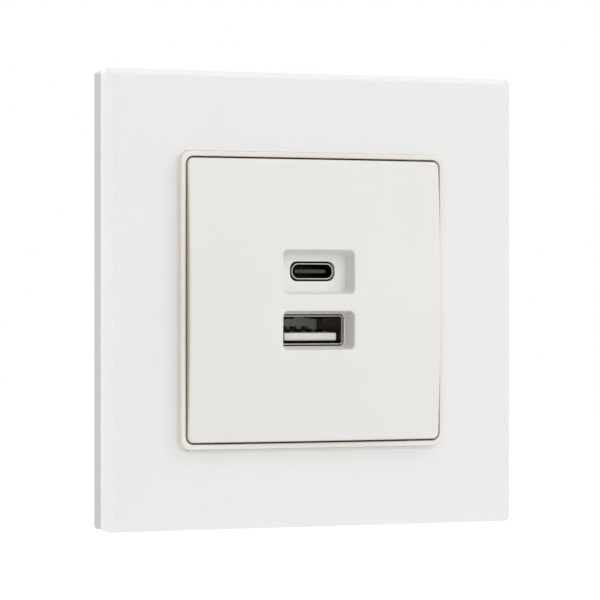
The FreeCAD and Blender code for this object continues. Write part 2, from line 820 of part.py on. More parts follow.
def support_ring():
    plate = cut_corner_prism(support_side, support_side, support_corner_cut, steel_front, 0)
    plate = plate.cut(cut_corner_prism(module_width + 2 * opening_gap, module_height + 2 * opening_gap,
                                       module_corner_cut, steel_front - over_cut, over_cut))
    tab_low = claw_half_width + claw_side_gap
    tab_outer = claw_pivot_x + ear_tab_half_width
    tabs = []
    for side in (-1, 1):
        for level in (-1, 1):
            start, end = sorted((level * (tab_low + steel_thickness),
                                 level * (tab_low + steel_thickness + ear_window_length)))
            low, high = sorted((side * (module_width / 2), side * tab_outer))
            plate = plate.cut(block(low, high, steel_front - over_cut, over_cut, start, end))
            tabs.append(ear_tab(side, level, tab_low))
    body = joined([plate] + tabs)
    hole = 2 * lug_hole_half()
    for side in (-1, 1):
        body = body.cut(box_slot(side))
        body = body.cut(rod(shank_radius + screw_clearance, steel_front - over_cut, over_cut,
                            side * claw_screw_x, 0))
        lug_hole = block(side * claw_pivot_x - hole / 2, side * claw_pivot_x + hole / 2,
                         claw_pivot_y - hole / 2, claw_pivot_y + hole / 2,
                         -tab_low - 2 * steel_thickness, tab_low + 2 * steel_thickness)
        body = body.cut(lug_hole)
    hole = ring_peg + 2 * opening_gap
    for x, z in corners(peg_centre(), peg_centre()):
        body = body.cut(centred_block(hole, hole, steel_front - over_cut, over_cut, x, z))
    return body


def lug_hole_half():
    """Half the side of the square hole in which a claw's lug turns."""
    return math.hypot(claw_thickness, claw_lug_height) / 2 + claw_lug_play


def ear_tab(side, level, tab_low):
    """Ear bent back from the support ring."""
    z_low = min(level * tab_low, level * (tab_low + steel_thickness))
    half = ear_tab_half_width
    end = claw_pivot_y + half
    x = side * claw_pivot_x
    return block(x - half, x + half, -steel_thickness / 2, end, z_low, z_low + steel_thickness)


def claw_right():
    path = [(claw_pivot_x - claw_arm_inset, claw_pivot_y), (claw_leg_x, claw_pivot_y),
            (claw_leg_x, claw_leg_end), (claw_tip_x, claw_tip_y)]
    sheet = strip(path, claw_thickness, claw_bend_radius, -claw_half_width, claw_half_width)
    slot_start = claw_pivot_x + claw_slot_start
    sheet = sheet.cut(block(slot_start, claw_leg_x + claw_thickness, claw_pivot_y - over_cut,
                            claw_pivot_y + claw_slot_depth, -claw_slot_half_width, claw_slot_half_width))
    for place in (-claw_tooth_pitch, 0, claw_tooth_pitch):
        half = claw_tooth_pitch / 2 - claw_side_gap
        notch = [vec(claw_leg_x - over_cut, claw_tip_y + over_cut, place - half),
                 vec(claw_leg_x - over_cut, claw_tip_y + over_cut, place + half),
                 vec(claw_leg_x - over_cut, claw_tip_y - claw_tooth_depth, place)]
        face = Part.Face(Part.makePolygon(notch + notch[:1]))
        sheet = sheet.cut(face.extrude(vec(claw_tip_x, 0, 0)))
    reach = claw_half_width + claw_side_gap + steel_thickness
    lugs = []
    for level in (-1, 1):
        low, high = sorted((level * (claw_half_width - over_cut), level * reach))
        lugs.append(block(claw_pivot_x - claw_lug_height / 2, claw_pivot_x + claw_lug_height / 2,
                          claw_pivot_y - claw_thickness / 2, claw_pivot_y + claw_thickness / 2, low, high))
    return joined([sheet] + lugs)


def claw_left():
    return mirrored(claw_right())


def claw_screw_right():
    return screw(claw_screw_x, 0, steel_front, 1, claw_screw_reach, claw_head_radius, claw_head_height)


def claw_screw_left():
    return mirrored(claw_screw_right())


def terminal_cage(side):
    """Lifting cage of a terminal: a loop whose thick rear wall is threaded."""
    x, z = side * terminal_place_x, terminal_place_z
    loop = centred_block(cage_width, cage_depth, cage_front, cage_back, x, z)
    corner_edges = [e for e in loop.Edges if abs(e.Vertexes[0].Point.z - e.Vertexes[1].Point.z)
                    > over_cut]
    loop = loop.makeChamfer(cage_wall / 2, corner_edges)
    loop = loop.cut(centred_block(cage_width - 2 * cage_wall, cage_depth + 2 * over_cut,
                                  cage_inner_front, cage_inner_back, x, z))
    return loop.cut(rod(shank_radius + screw_clearance, cage_inner_back - over_cut, cage_back + over_cut,
                        x, z))


def terminal_screw(side):
    """Terminal screw: its tip bears on the bar, and its head looks out of the rear."""
    tip = cage_bar_back + terminal_tip_gap
    return screw(side * terminal_place_x, terminal_place_z, terminal_head_start, -1,
                 terminal_head_start - tip, terminal_head_radius, terminal_head_height, False)


def terminal_bar(side):
    """Brass bar inside a cage, which runs through the partition and turns back into the power board."""
    middle = cage_bar_front + bar_thickness / 2
    path = [(bar_end_z, middle), (bar_tail_z, middle), (bar_tail_z, power_board_back + solder_reach)]
    bar = strip(path, bar_thickness, bar_thickness / 2, -bar_width / 2, bar_width / 2)
    bar.rotate(vec(0, 0, 0), vec(0, 1, 0), -90)
    bar.translate(vec(side * terminal_place_x, 0, 0))
    return bar


def header_places():
    """X of each pin in the link between the boards."""
    first = header_x - pin_pitch * (pin_count - 1) / 2
    return [first + pin_pitch * index for index in range(pin_count)]


def board_pins():
    return Part.makeCompound([centred_block(pin_side, pin_side, port_board_front - solder_reach,
                                            power_board_back + solder_reach, x, header_z)
                              for x in header_places()])


def board_header():
    length = pin_pitch * pin_count
    body = centred_block(length, pin_pitch, power_board_front - header_height, power_board_front,
                         header_x, header_z)
    for x in header_places():
        body = body.cut(centred_block(pin_side + 2 * pin_gap, pin_side + 2 * pin_gap,
                                      power_board_front - header_height - over_cut,
                                      power_board_front + over_cut, x, header_z))
    return body


def leg_slots(width, height, z, y_from, y_to):
    """Slots in the port board for the solder legs of a shell."""
    slots = []
    for x, level in corners(width / 2, leg_place):
        if height < 2 * leg_place + leg_width:
            level = 0.0
        slots.append(centred_block(leg_gap * 2 + usb_a_sheet * 2, leg_width + 2 * leg_gap,
                                   y_from, y_to, x, z + level))
    return slots


def port_board():
    front, back = port_board_front, port_board_back
    board = block(-port_board_half_width, port_board_half_width, front, back, port_board_low,
                  port_board_top)
    cuts = leg_slots(usb_a_width, usb_a_height, usb_a_z, front - over_cut, back + over_cut)
    cuts += leg_slots(usb_c_width, usb_c_height, usb_c_z, front - over_cut, back + over_cut)
    cuts += [centred_block(pin_side + 2 * pin_gap, pin_side + 2 * pin_gap, front - over_cut,
                           back + over_cut, x, header_z) for x in header_places()]
    cuts += [centred_block(contact_width + 2 * pin_gap, contact_thickness + 2 * pin_gap,
                           front - over_cut, back + over_cut, x, contact_level())
             for x in contact_places]
    return board.cut(cuts)


def power_board():
    front, back = power_board_front, power_board_back
    height = power_board_top - power_board_low
    board = cut_corner_prism(2 * power_board_half_width, height, power_board_corner_cut, front, back, 0,
                             power_board_low + height / 2)
    lower = block(-power_board_half_width, power_board_half_width, front, back, power_board_low,
                  power_board_low + height / 2)
    cuts = [centred_block(bar_width + 2 * pin_gap, bar_thickness + 2 * pin_gap, front - over_cut,
                          back + over_cut, side * terminal_place_x, bar_tail_z) for side in (-1, 1)]
    cuts += [centred_block(pin_side + 2 * pin_gap, pin_side + 2 * pin_gap, front - over_cut,
                           back + over_cut, x, header_z) for x in header_places()]
    return joined([board, lower]).cut(cuts)


def usb_a_shell():
    shell = prism(usb_a_width, usb_a_height, usb_a_corner_radius, shell_front, port_board_front, 0,
                  usb_a_z)
    inner_w, inner_h = usb_a_width - 2 * usb_a_sheet, usb_a_height - 2 * usb_a_sheet
    shell = shell.cut(cut_corner_prism(inner_w, inner_h, usb_a_corner_radius - usb_a_sheet,
                                       cover_front - over_cut, port_board_front + over_cut, 0, usb_a_z))
    latches = []
    start = shell_front + latch_start
    for level in (-1, 1):
        wall_z = usb_a_z + level * (usb_a_height / 2 - usb_a_sheet / 2)
        for place in (-latch_place, latch_place):
            shell = shell.cut(centred_block(latch_width + 2 * latch_slit, 2 * usb_a_sheet, start,
                                            start + latch_length, place, wall_z))
            latches.append(latch(place, wall_z, level, start))
    legs = shell_legs(usb_a_width, usb_a_height, usb_a_z, usb_a_sheet)
    return joined([shell] + latches + legs)


def latch(place, wall_z, level, start):
    """Leaf spring of the lower port's shell, which bends inwards to hold the plug."""
    end = start + latch_length + usb_a_sheet
    root = level * wall_z
    path = [(root - latch_bend / 2, start + latch_slit), (root - latch_bend, start + 2 * latch_bend),
            (root, start + latch_length - latch_bend), (root, end)]
    leaf = strip(path, usb_a_sheet - pin_gap, 0, -latch_width / 2, latch_width / 2)
    leaf.rotate(vec(0, 0, 0), vec(0, 1, 0), -90)
    if level < 0:
        leaf = leaf.mirror(vec(0, 0, 0), vec(0, 0, 1))
    leaf.translate(vec(place, 0, 0))
    return leaf


def shell_legs(width, height, z, sheet):
    """Solder legs that run from a shell's side walls through the port board."""
    legs = []
    for side in (-1, 1):
        low, high = sorted((side * (width / 2 - sheet), side * width / 2))
        levels = (-leg_place, leg_place) if height > 2 * leg_place + leg_width else (0.0,)
        for level in levels:
            legs.append(block(low, high, port_board_front - over_cut, port_board_back + solder_reach,
                              z + level - leg_width / 2, z + level + leg_width / 2))
    return legs


def tongue_base():
    """Underside of the lower port's tongue."""
    return usb_a_z - usb_a_height / 2 + usb_a_sheet + tongue_floor_gap


def contact_level():
    """Middle of the lower port's contacts, which lie on the tongue."""
    return tongue_base() + tongue_thickness + contact_thickness / 2


def usb_a_insulator():
    inner_w = usb_a_width - 2 * (usb_a_sheet + usb_a_fit_gap)
    inner_h = usb_a_height - 2 * (usb_a_sheet + usb_a_fit_gap)
    blocked = cut_corner_prism(inner_w, inner_h, usb_a_corner_radius - usb_a_sheet, usb_a_block_start,
                               port_board_front, 0, usb_a_z)
    tongue = block(-tongue_width / 2, tongue_width / 2, shell_front + tongue_recess,
                   usb_a_block_start + over_cut, tongue_base(), tongue_base() + tongue_thickness)
    tip = [e for e in tongue.Edges if abs(e.CenterOfMass.y - shell_front - tongue_recess)
           < screw_clearance and abs(e.Vertexes[0].Point.x - e.Vertexes[1].Point.x) > over_cut]
    body = joined([blocked, tongue.makeChamfer(contact_thickness, tip)])
    slot_low = tongue_base() + tongue_thickness
    for x in contact_places:
        body = body.cut(block(x - contact_slot_width / 2, x + contact_slot_width / 2, usb_a_block_start
                              - screw_clearance, port_board_front + over_cut, slot_low,
                              slot_low + contact_slot_height))
    for place in (-latch_place, latch_place):
        for level in (-1, 1):
            body = body.cut(centred_block(latch_width + 2 * latch_slit, 2 * latch_bend + usb_a_sheet,
                                          usb_a_block_start - over_cut, shell_front + latch_start
                                          + latch_length + usb_a_sheet, place,
                                          usb_a_z + level * usb_a_height / 2))
    return body


def usb_a_contacts():
    level = contact_level()
    tip = shell_front + tongue_recess + contact_tip_inset
    middle = (tip + usb_a_block_start) / 2
    path = [(level, tip), (level + contact_bump, (tip + middle) / 2), (level, middle),
            (level, port_board_back + solder_reach)]
    leaf = strip(path, contact_thickness, 0, -contact_width / 2, contact_width / 2)
    leaf.rotate(vec(0, 0, 0), vec(0, 1, 0), -90)
    contacts = []
    for x in contact_places:
        copy = leaf.copy()
        copy.translate(vec(x, 0, 0))
        contacts.append(copy)
    return Part.makeCompound(contacts)


def usb_c_shell():
    inner_w, inner_h = usb_c_width - 2 * usb_c_sheet, usb_c_height - 2 * usb_c_sheet
    shell = prism(usb_c_width, usb_c_height, usb_c_height / 2 - pin_gap, shell_front, port_board_front,
                  0, usb_c_z)
    shell = shell.cut(prism(inner_w, inner_h, inner_h / 2 - pin_gap, cover_front - over_cut,
                            port_board_front + over_cut, 0, usb_c_z))
    return joined([shell] + shell_legs(usb_c_width, usb_c_height, usb_c_z, usb_c_sheet))


def usb_c_insulator():
    inner_w = usb_c_width - 2 * (usb_c_sheet + usb_a_fit_gap)
    inner_h = usb_c_height - 2 * (usb_c_sheet + usb_a_fit_gap)
    base = prism(inner_w, inner_h, inner_h / 2 - pin_gap, usb_c_block_start, port_board_front, 0,
                 usb_c_z)
    tongue = cut_corner_prism(usb_c_tongue_width, usb_c_tongue_thickness, usb_c_tongue_thickness / 4,
                              shell_front + usb_c_tongue_recess, usb_c_block_start + over_cut, 0, usb_c_z)
    return joined([base, tongue])


def usb_c_contacts():
    contacts = []
    first = -usb_c_contact_pitch * (usb_c_contact_count - 1) / 2
    offset = usb_c_tongue_thickness / 2 + usb_c_contact_thickness / 2
    for index in range(usb_c_contact_count):
        for level in (-1, 1):
            contacts.append(centred_block(usb_c_contact_width, usb_c_contact_thickness,
                                          shell_front + usb_c_tongue_recess + contact_thickness,
                                          usb_c_block_start, first + usb_c_contact_pitch * index,
                                          usb_c_z + level * offset))
    return Part.makeCompound(contacts)


def transformer_core():
    x, z = transformer_at
    half = core_width / 2
    frame = block(x - half, x + half, core_front, core_back, z - core_depth / 2, z + core_depth / 2)
    for side in (-1, 1):
        low, high = sorted((x + side * core_centre_leg / 2, x + side * (half - core_leg)))
        frame = frame.cut(block(low, high, core_front + core_yoke, core_back - core_yoke, z - core_depth,
                                z + core_depth))
    return frame


def bobbin_span():
    """Front and back of the bobbin between the core's yokes."""
    return core_front + core_yoke + screw_clearance, core_back - core_yoke - screw_clearance


def transformer_bobbin():
    x, z = transformer_at
    front, back = bobbin_span()
    leg_w, leg_d = core_centre_leg + 2 * screw_clearance, core_depth + 2 * screw_clearance
    tube = centred_block(leg_w + 2 * bobbin_wall, leg_d + 2 * bobbin_wall, front, back, x, z)
    solids = [tube]
    for low in (front, back - bobbin_flange):
        solids.append(centred_block(winding_width, bobbin_flange_depth, low, low + bobbin_flange, x, z))
    foot_low = z + core_depth / 2 + screw_clearance
    foot_high = z + bobbin_flange_depth / 2
    for side in (-1, 1):
        low, high = (foot_low, foot_high) if side > 0 else (2 * z - foot_high, 2 * z - foot_low)
        solids.append(block(x - bobbin_flange_width / 2, x + bobbin_flange_width / 2,
                            back - bobbin_flange, power_board_front, low, high))
    body = joined(solids)
    return body.cut(centred_block(leg_w, leg_d, front - over_cut, back + over_cut, x, z))


def transformer_winding():
    x, z = transformer_at
    front, back = bobbin_span()
    start, end = front + bobbin_flange, back - bobbin_flange
    coil = cut_corner_prism(winding_width - 2 * screw_clearance, winding_depth, core_leg, start, end, x, z)
    hole_w = core_centre_leg + 4 * screw_clearance + 2 * bobbin_wall
    hole_d = core_depth + 4 * screw_clearance + 2 * bobbin_wall
    return coil.cut(centred_block(hole_w, hole_d, start - over_cut, end + over_cut, x, z))


def input_capacitors():
    front = port_board_back + input_capacitor_gap
    return Part.makeCompound([rod(input_capacitor_radius, front, power_board_front, x, z)
                              for x, z in input_capacitor_places])


def output_capacitors():
    front = power_board_front - output_capacitor_height
    return Part.makeCompound([rod(output_capacitor_radius, front, power_board_front, x, z)
                              for x, z in output_capacitor_places])


def mains_choke():
    """Square drum core: two flanges and a waist that the wire fills."""
    x, z = choke_at
    front, waist = power_board_front - choke_height, choke_side - 2 * choke_waist
    return joined([centred_block(choke_side, choke_side, front, front + choke_flange, x, z),
                   centred_block(waist, waist, front, power_board_front, x, z),
                   centred_block(choke_side, choke_side, power_board_front - choke_flange,
                                 power_board_front, x, z)])


def mains_fuse():
    """Moulded block of the fuse, with its front edges taken off."""
    x, z = fuse_at
    width, height, depth = fuse_size
    front = power_board_front - height
    body = centred_block(width, depth, front, power_board_front, x, z)
    return body.makeChamfer(fuse_edge, [e for e in body.Edges
                                        if all(abs(v.Point.y - front) < pin_gap for v in e.Vertexes)])


def y_capacitor():
    x, z = y_capacitor_at
    return Part.makeCylinder(y_capacitor_radius, y_capacitor_thickness,
                             vec(x, power_board_front - y_capacitor_radius, z - y_capacitor_thickness / 2),
                             vec(0, 0, 1))


def chip(place, size, board_face, leg_count, legs_along_x=True):
    """Moulded chip that stands in front of a board, with rows of leg_count legs on two sides."""
    x, z = place
    width, height, depth = size
    solids = [centred_block(width, depth, board_face - height, board_face - (pin_gap if leg_count else 0),
                            x, z)]
    across, along = (width, depth) if legs_along_x else (depth, width)
    pitch = along / max(leg_count, 1)
    for side in (-1, 1):
        for index in range(leg_count):
            level = pitch * (index - (leg_count - 1) / 2)
            low, high = sorted((side * (across - chip_leg_reach) / 2,
                                side * (across / 2 + chip_leg_reach)))
            span = (low, high), (level - chip_leg_width / 2, level + chip_leg_width / 2)
            (x_low, x_high), (z_low, z_high) = span if legs_along_x else span[::-1]
            solids.append(block(x + x_low, x + x_high, board_face - chip_leg_thickness, board_face,
                                z + z_low, z + z_high))
    return joined(solids) if leg_count else solids[0]


def pieces():
    """Name and solid of every piece."""
    made = [
        ("glass_plate", glass_plate()), ("glass_adhesive", glass_adhesive()),
        ("frame_carrier", frame_carrier()), ("trim_ring", trim_ring()),
        ("centre_plate", centre_plate()), ("front_cover", front_cover()),
        ("module_housing", module_housing()), ("support_ring", support_ring()),
        ("claw_left", claw_left()), ("claw_right", claw_right()),
        ("claw_screw_left", claw_screw_left()), ("claw_screw_right", claw_screw_right()),
        ("port_board", port_board()), ("power_board", power_board()),
        ("board_pins", board_pins()), ("board_header", board_header()),
        ("usb_a_shell", usb_a_shell()), ("usb_a_insulator", usb_a_insulator()),
        ("usb_a_contacts", usb_a_contacts()), ("usb_c_shell", usb_c_shell()),
        ("usb_c_insulator", usb_c_insulator()), ("usb_c_contacts", usb_c_contacts()),
        ("transformer_core", transformer_core()), ("transformer_bobbin", transformer_bobbin()),
        ("transformer_winding", transformer_winding()), ("input_capacitors", input_capacitors()),
        ("output_capacitors", output_capacitors()), ("mains_choke", mains_choke()),
        ("mains_fuse", mains_fuse()), ("y_capacitor", y_capacitor()),
        ("bridge_rectifier", chip(bridge_at, bridge_size, power_board_front, few_legs)),
        ("optocoupler", chip(optocoupler_at, optocoupler_size, power_board_front, few_legs, False)),
        ("converter_chip", chip(converter_chip_at, converter_chip_size, power_board_front, many_legs)),
        ("rectifier_chip", chip(rectifier_chip_at, rectifier_chip_size, power_board_front, few_legs,
                                False)),
        ("charge_chip", chip(charge_chip_at, charge_chip_size, port_board_front, 0)),
    ]
    for name, side in (("live", -1), ("neutral", 1)):
        made.append(("terminal_cage_" + name, terminal_cage(side)))
        made.append(("terminal_screw_" + name, terminal_screw(side)))
        made.append(("terminal_bar_" + name, terminal_bar(side)))
    return made


os.makedirs("parts", exist_ok=True)
for piece_name, piece_shape in pieces():
    piece_shape.exportStep("parts/" + piece_name + ".step")
    print(piece_name, "solids", len(piece_shape.Solids), "valid", piece_shape.isValid(),
          "volume", round(piece_shape.Volume, 2))
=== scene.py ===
"""Looks of a flush-mounted USB wall socket with a glass frame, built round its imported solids."""

import json
import logging
import math
from dataclasses import dataclass
from enum import Enum
from typing import Iterable

import bmesh
import bpy
from bmesh.types import BMesh, BMEdge, BMVert
from mathutils import Matrix, Vector

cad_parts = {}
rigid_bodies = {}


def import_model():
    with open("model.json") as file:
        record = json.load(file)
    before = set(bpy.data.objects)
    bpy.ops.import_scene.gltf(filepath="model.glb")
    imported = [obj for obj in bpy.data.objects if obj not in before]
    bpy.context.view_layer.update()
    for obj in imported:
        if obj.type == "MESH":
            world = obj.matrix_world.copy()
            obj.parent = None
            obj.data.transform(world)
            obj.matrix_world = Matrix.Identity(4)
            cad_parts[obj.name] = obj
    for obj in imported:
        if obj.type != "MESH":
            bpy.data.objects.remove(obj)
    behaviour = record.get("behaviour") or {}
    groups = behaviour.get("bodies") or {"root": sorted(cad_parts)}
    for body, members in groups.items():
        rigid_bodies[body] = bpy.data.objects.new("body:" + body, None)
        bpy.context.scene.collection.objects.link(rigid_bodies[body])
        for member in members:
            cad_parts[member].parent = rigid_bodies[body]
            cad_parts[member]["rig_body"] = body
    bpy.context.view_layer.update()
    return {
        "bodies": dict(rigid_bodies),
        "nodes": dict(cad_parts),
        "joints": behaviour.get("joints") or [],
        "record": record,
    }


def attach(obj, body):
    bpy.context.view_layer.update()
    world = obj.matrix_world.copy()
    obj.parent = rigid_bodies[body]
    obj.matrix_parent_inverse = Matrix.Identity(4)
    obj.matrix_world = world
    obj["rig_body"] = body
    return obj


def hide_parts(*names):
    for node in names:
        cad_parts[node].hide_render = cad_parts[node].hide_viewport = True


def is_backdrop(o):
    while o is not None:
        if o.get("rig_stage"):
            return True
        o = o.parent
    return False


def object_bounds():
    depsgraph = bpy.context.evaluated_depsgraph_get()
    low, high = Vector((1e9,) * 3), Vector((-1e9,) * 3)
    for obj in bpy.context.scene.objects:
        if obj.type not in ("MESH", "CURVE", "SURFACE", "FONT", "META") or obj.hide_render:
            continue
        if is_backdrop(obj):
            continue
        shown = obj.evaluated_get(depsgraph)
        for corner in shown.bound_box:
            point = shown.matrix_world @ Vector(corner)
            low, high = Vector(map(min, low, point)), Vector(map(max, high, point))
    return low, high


# Sizes and places are in millimetres until Workshop.piece makes them metres. Studio's are in metres.
MM = 0.001
HOUSE = "socket"
LOG = logging.getLogger("wall_socket")

Colour = tuple[float, float, float]
Point = tuple[float, float, float]
EVEN: Point = (1.0, 1.0, 1.0)

# Noise keeps between these two values nearly everywhere.
NOISE_LOW = 0.3
NOISE_HIGH = 0.7

# Tolerances in millimetres: points this near lie in one plane, or are one point.
TOUCH = 0.01
FINE = 0.001
HAIR = 0.0001
SPECK = 0.00001
MERGE = 0.0005
CAD_MERGE = 0.002

# Parts of a face's unit normal. A wall has less than the first along Y, and more than the second
# along X where it looks sideways. A front or a rear has more than one of the last three along Y,
# which allow for less and less slope.
WALL_NORMAL = 0.3
SIDE_NORMAL = 0.35
FRONT_NORMAL = 0.9
RIM_NORMAL = 0.97
FLAT_NORMAL = 0.99

# Angles in degrees between two faces. Below the first the edge shades smoothly, above the second
# an outer edge gets a round, below the third the faces become one, and above the fourth an edge in
# the plane of a front or a rear belongs to its rim.
SMOOTH_BELOW = 40.0
ROUND_ABOVE = 35.0
FLAT_BELOW = 0.5
RIM_ABOVE = 34.4

# Faces across each round of a softened node.
SOFT_SEGMENTS = 2

VIEW_RAYS = ("Is Camera Ray", "Is Glossy Ray", "Is Transmission Ray")
LIGHT_RAYS = ("Is Shadow Ray", "Is Diffuse Ray")


# Streaks are this many times as fine across the direction of work as along it.
ACROSS = 12.0


class Axis(Enum):
    """Direction that a brushed or drawn surface was worked in."""

    X = (1.0, ACROSS, ACROSS)
    Y = (ACROSS, 1.0, ACROSS)
    Z = (ACROSS, ACROSS, 1.0)


class Bench:
    """Node bench on which one material is put together."""

    def __init__(self, name: str) -> None:
        """Starts a material with a bare Principled shader.

        Args:
            name: name of the material.
        """
        self.material = bpy.data.materials.new(name)
        self.material.use_nodes = True
        self.tree = self.material.node_tree
        self.shader = self.tree.nodes["Principled BSDF"]

    def node(self, kind: str, **settings: object) -> bpy.types.Node:
        """Adds a node and sets its properties or, by socket name, its inputs.

        Args:
            kind: Blender's name of the node type, without its ShaderNode prefix.
            settings: properties of the node; those it lacks are input names.

        Returns:
            The new node.
        """
        made = self.tree.nodes.new("ShaderNode" + kind)
        for key, value in settings.items():
            if hasattr(made, key):
                setattr(made, key, value)
            else:
                made.inputs[key.replace("_", " ").capitalize()].default_value = value
        return made

    def link(self, source: bpy.types.NodeSocket, target: bpy.types.NodeSocket) -> None:
        """Joins two sockets."""
        self.tree.links.new(source, target)

    def coordinates(self, scale: Point = EVEN) -> bpy.types.NodeSocket:
        """Object coordinates in metres, stretched by scale.

        Args:
            scale: factor along each axis.

        Returns:
            The vector socket.
        """
        place = self.node("TexCoord")
        turned = self.node("Mapping")
        turned.inputs["Scale"].default_value = scale
        self.link(place.outputs["Object"], turned.inputs["Vector"])
        return turned.outputs["Vector"]

    def noise(self, per_metre: float, detail: float, scale: Point = EVEN) -> bpy.types.NodeSocket:
        """Noise value of a given fineness.

        Args:
            per_metre: waves of noise in a metre.
            detail: number of finer layers.
            scale: stretch along each axis.

        Returns:
            The value socket.
        """
        made = self.node("TexNoise")
        made.inputs["Scale"].default_value = per_metre
        made.inputs["Detail"].default_value = detail
        self.link(self.coordinates(scale), made.inputs["Vector"])
        return made.outputs["Fac"]

    def spread(self, value: bpy.types.NodeSocket, low: float, high: float) -> bpy.types.NodeSocket:
        """Maps the range that noise fills to the range low to high.

        Args:
            value: the value socket.
            low: result for the lowest noise.
            high: result for the highest noise.

        Returns:
            The mapped value.
        """
        made = self.node("MapRange")
        limits = {"From Min": NOISE_LOW, "From Max": NOISE_HIGH, "To Min": low, "To Max": high}
        for name, number in limits.items():
            made.inputs[name].default_value = number
        self.link(value, made.inputs["Value"])
        return made.outputs["Result"]

    def tint(self, value: bpy.types.NodeSocket, dark: Colour, light: Colour) -> None:
        """Colours the surface between two colours by a noise value.

        Args:
            value: the value socket.
            dark: colour for the lowest noise.
            light: colour for the highest noise.
        """
        ramp = self.node("ValToRGB")
        first, last = ramp.color_ramp.elements
        first.position = NOISE_LOW
        last.position = NOISE_HIGH
        first.color = (*dark, 1.0)
        last.color = (*light, 1.0)
        self.link(value, ramp.inputs["Fac"])
        self.link(ramp.outputs["Color"], self.shader.inputs["Base Color"])

    def bump(self, height: bpy.types.NodeSocket, depth_mm: float, strength: float) -> None:
        """Raises the surface by a height map.

        Args:
            height: value from 0 to 1.
            depth_mm: height of 1 in millimetres.
            strength: share of the effect.
        """
        made = self.node("Bump")
        made.inputs["Strength"].default_value = strength
        made.inputs["Distance"].default_value = depth_mm * MM
        self.link(height, made.inputs["Height"])
        self.link(made.outputs["Normal"], self.shader.inputs["Normal"])

    def set(self, **values: object) -> None:
        """Sets the shader's own sockets, named with underscores for spaces."""
        for key, value in values.items():
            self.shader.inputs[key.replace("_", " ")].default_value = value

    def show(self, shader: bpy.types.NodeSocket) -> None:
        """Makes a shader the surface of the material."""
        self.link(shader, self.tree.nodes["Material Output"].inputs["Surface"])

    def by_ray(self, kinds: Iterable[str], usual: bpy.types.NodeSocket, other: bpy.types.NodeSocket) -> None:
        """Shows one shader to some kinds of rays and the usual one to the rest.

        Args:
            kinds: names of Light Path outputs that see the other shader.
            usual: shader that all other rays see.
            other: shader of the given kinds.
        """
        mix = self.node("MixShader")
        self.link(any_ray(self.tree, kinds), mix.inputs["Fac"])
        self.link(usual, mix.inputs[1])
        self.link(other, mix.inputs[2])
        self.show(mix.outputs["Shader"])


def toned(colour: Colour, factor: float) -> Colour:
    """Colour made lighter or darker.

    Args:
        colour: linear colour.
        factor: 1 leaves it.

    Returns:
        The new colour, at most 1 in each channel.
    """
    return tuple(min(1.0, part * factor) for part in colour)


def any_ray(tree: bpy.types.NodeTree, kinds: Iterable[str]) -> bpy.types.NodeSocket:
    """Value that is 1 for rays of the given kinds and 0 for others.

    Args:
        tree: node tree that it joins.
        kinds: names of Light Path outputs.

    Returns:
        The value socket.
    """
    path = tree.nodes.new("ShaderNodeLightPath")
    first, *others = kinds
    found = path.outputs[first]
    for kind in others:
        either = tree.nodes.new("ShaderNodeMath")
        either.operation = "MAXIMUM"
        tree.links.new(found, either.inputs[0])
        tree.links.new(path.outputs[kind], either.inputs[1])
        found = either.outputs["Value"]
    return found


@dataclass(frozen=True)
class Moulding:
    """Injection-moulded plastic: an even colour with a fine spark-eroded grain."""

    name: str
    colour: Colour
    roughness: float = 0.4
    grain_mm: float = 0.012
    grain_per_metre: float = 2600.0
    mottling: float = 0.012
    cloud_per_metre: float = 60.0
    gloss_swing: float = 0.08
    grain_share: float = 0.35

    def build(self) -> bpy.types.Material:
        """Makes the material.

        Returns:
            The new material.
        """
        bench = Bench(self.name)
        cloud = bench.noise(self.cloud_per_metre, detail=2.0)
        dark = toned(self.colour, 1 - self.mottling)
        light = toned(self.colour, 1 + self.mottling)
        bench.tint(cloud, dark, light)
        grain = bench.noise(self.grain_per_metre, detail=2.0)
        low = self.roughness * (1 - self.gloss_swing)
        high = self.roughness * (1 + self.gloss_swing)
        bench.link(bench.spread(grain, low, high), bench.shader.inputs["Roughness"])
        bench.bump(grain, self.grain_mm, self.grain_share)
        bench.set(Specular_IOR_Level=0.5, IOR=1.5)
        return bench.material


@dataclass(frozen=True)
class Metal:
    """Bare or plated metal, brushed, drawn or rolled along one axis."""

    name: str
    colour: Colour
    roughness: float = 0.3
    along: Axis = Axis.X
    streaks_per_metre: float = 500.0
    streak_mm: float = 0.004
    stain: float = 0.12
    cloud_per_metre: float = 180.0
    gloss_swing: float = 0.2
    streak_share: float = 0.4
    anisotropy: float = 0.3

    def build(self) -> bpy.types.Material:
        """Makes the material.

        Returns:
            The new material.
        """
        bench = Bench(self.name)
        cloud = bench.noise(self.cloud_per_metre, detail=4.0)
        dark = toned(self.colour, 1 - self.stain)
        light = toned(self.colour, 1 + self.stain / 2)
        bench.tint(cloud, dark, light)
        streaks = bench.noise(self.streaks_per_metre, detail=3.0, scale=self.along.value)
        low = self.roughness * (1 - self.gloss_swing)
        high = self.roughness * (1 + self.gloss_swing)
        bench.link(bench.spread(streaks, low, high), bench.shader.inputs["Roughness"])
        bench.bump(streaks, self.streak_mm, self.streak_share)
        bench.set(Metallic=1.0, Anisotropic=self.anisotropy)
        return bench.material


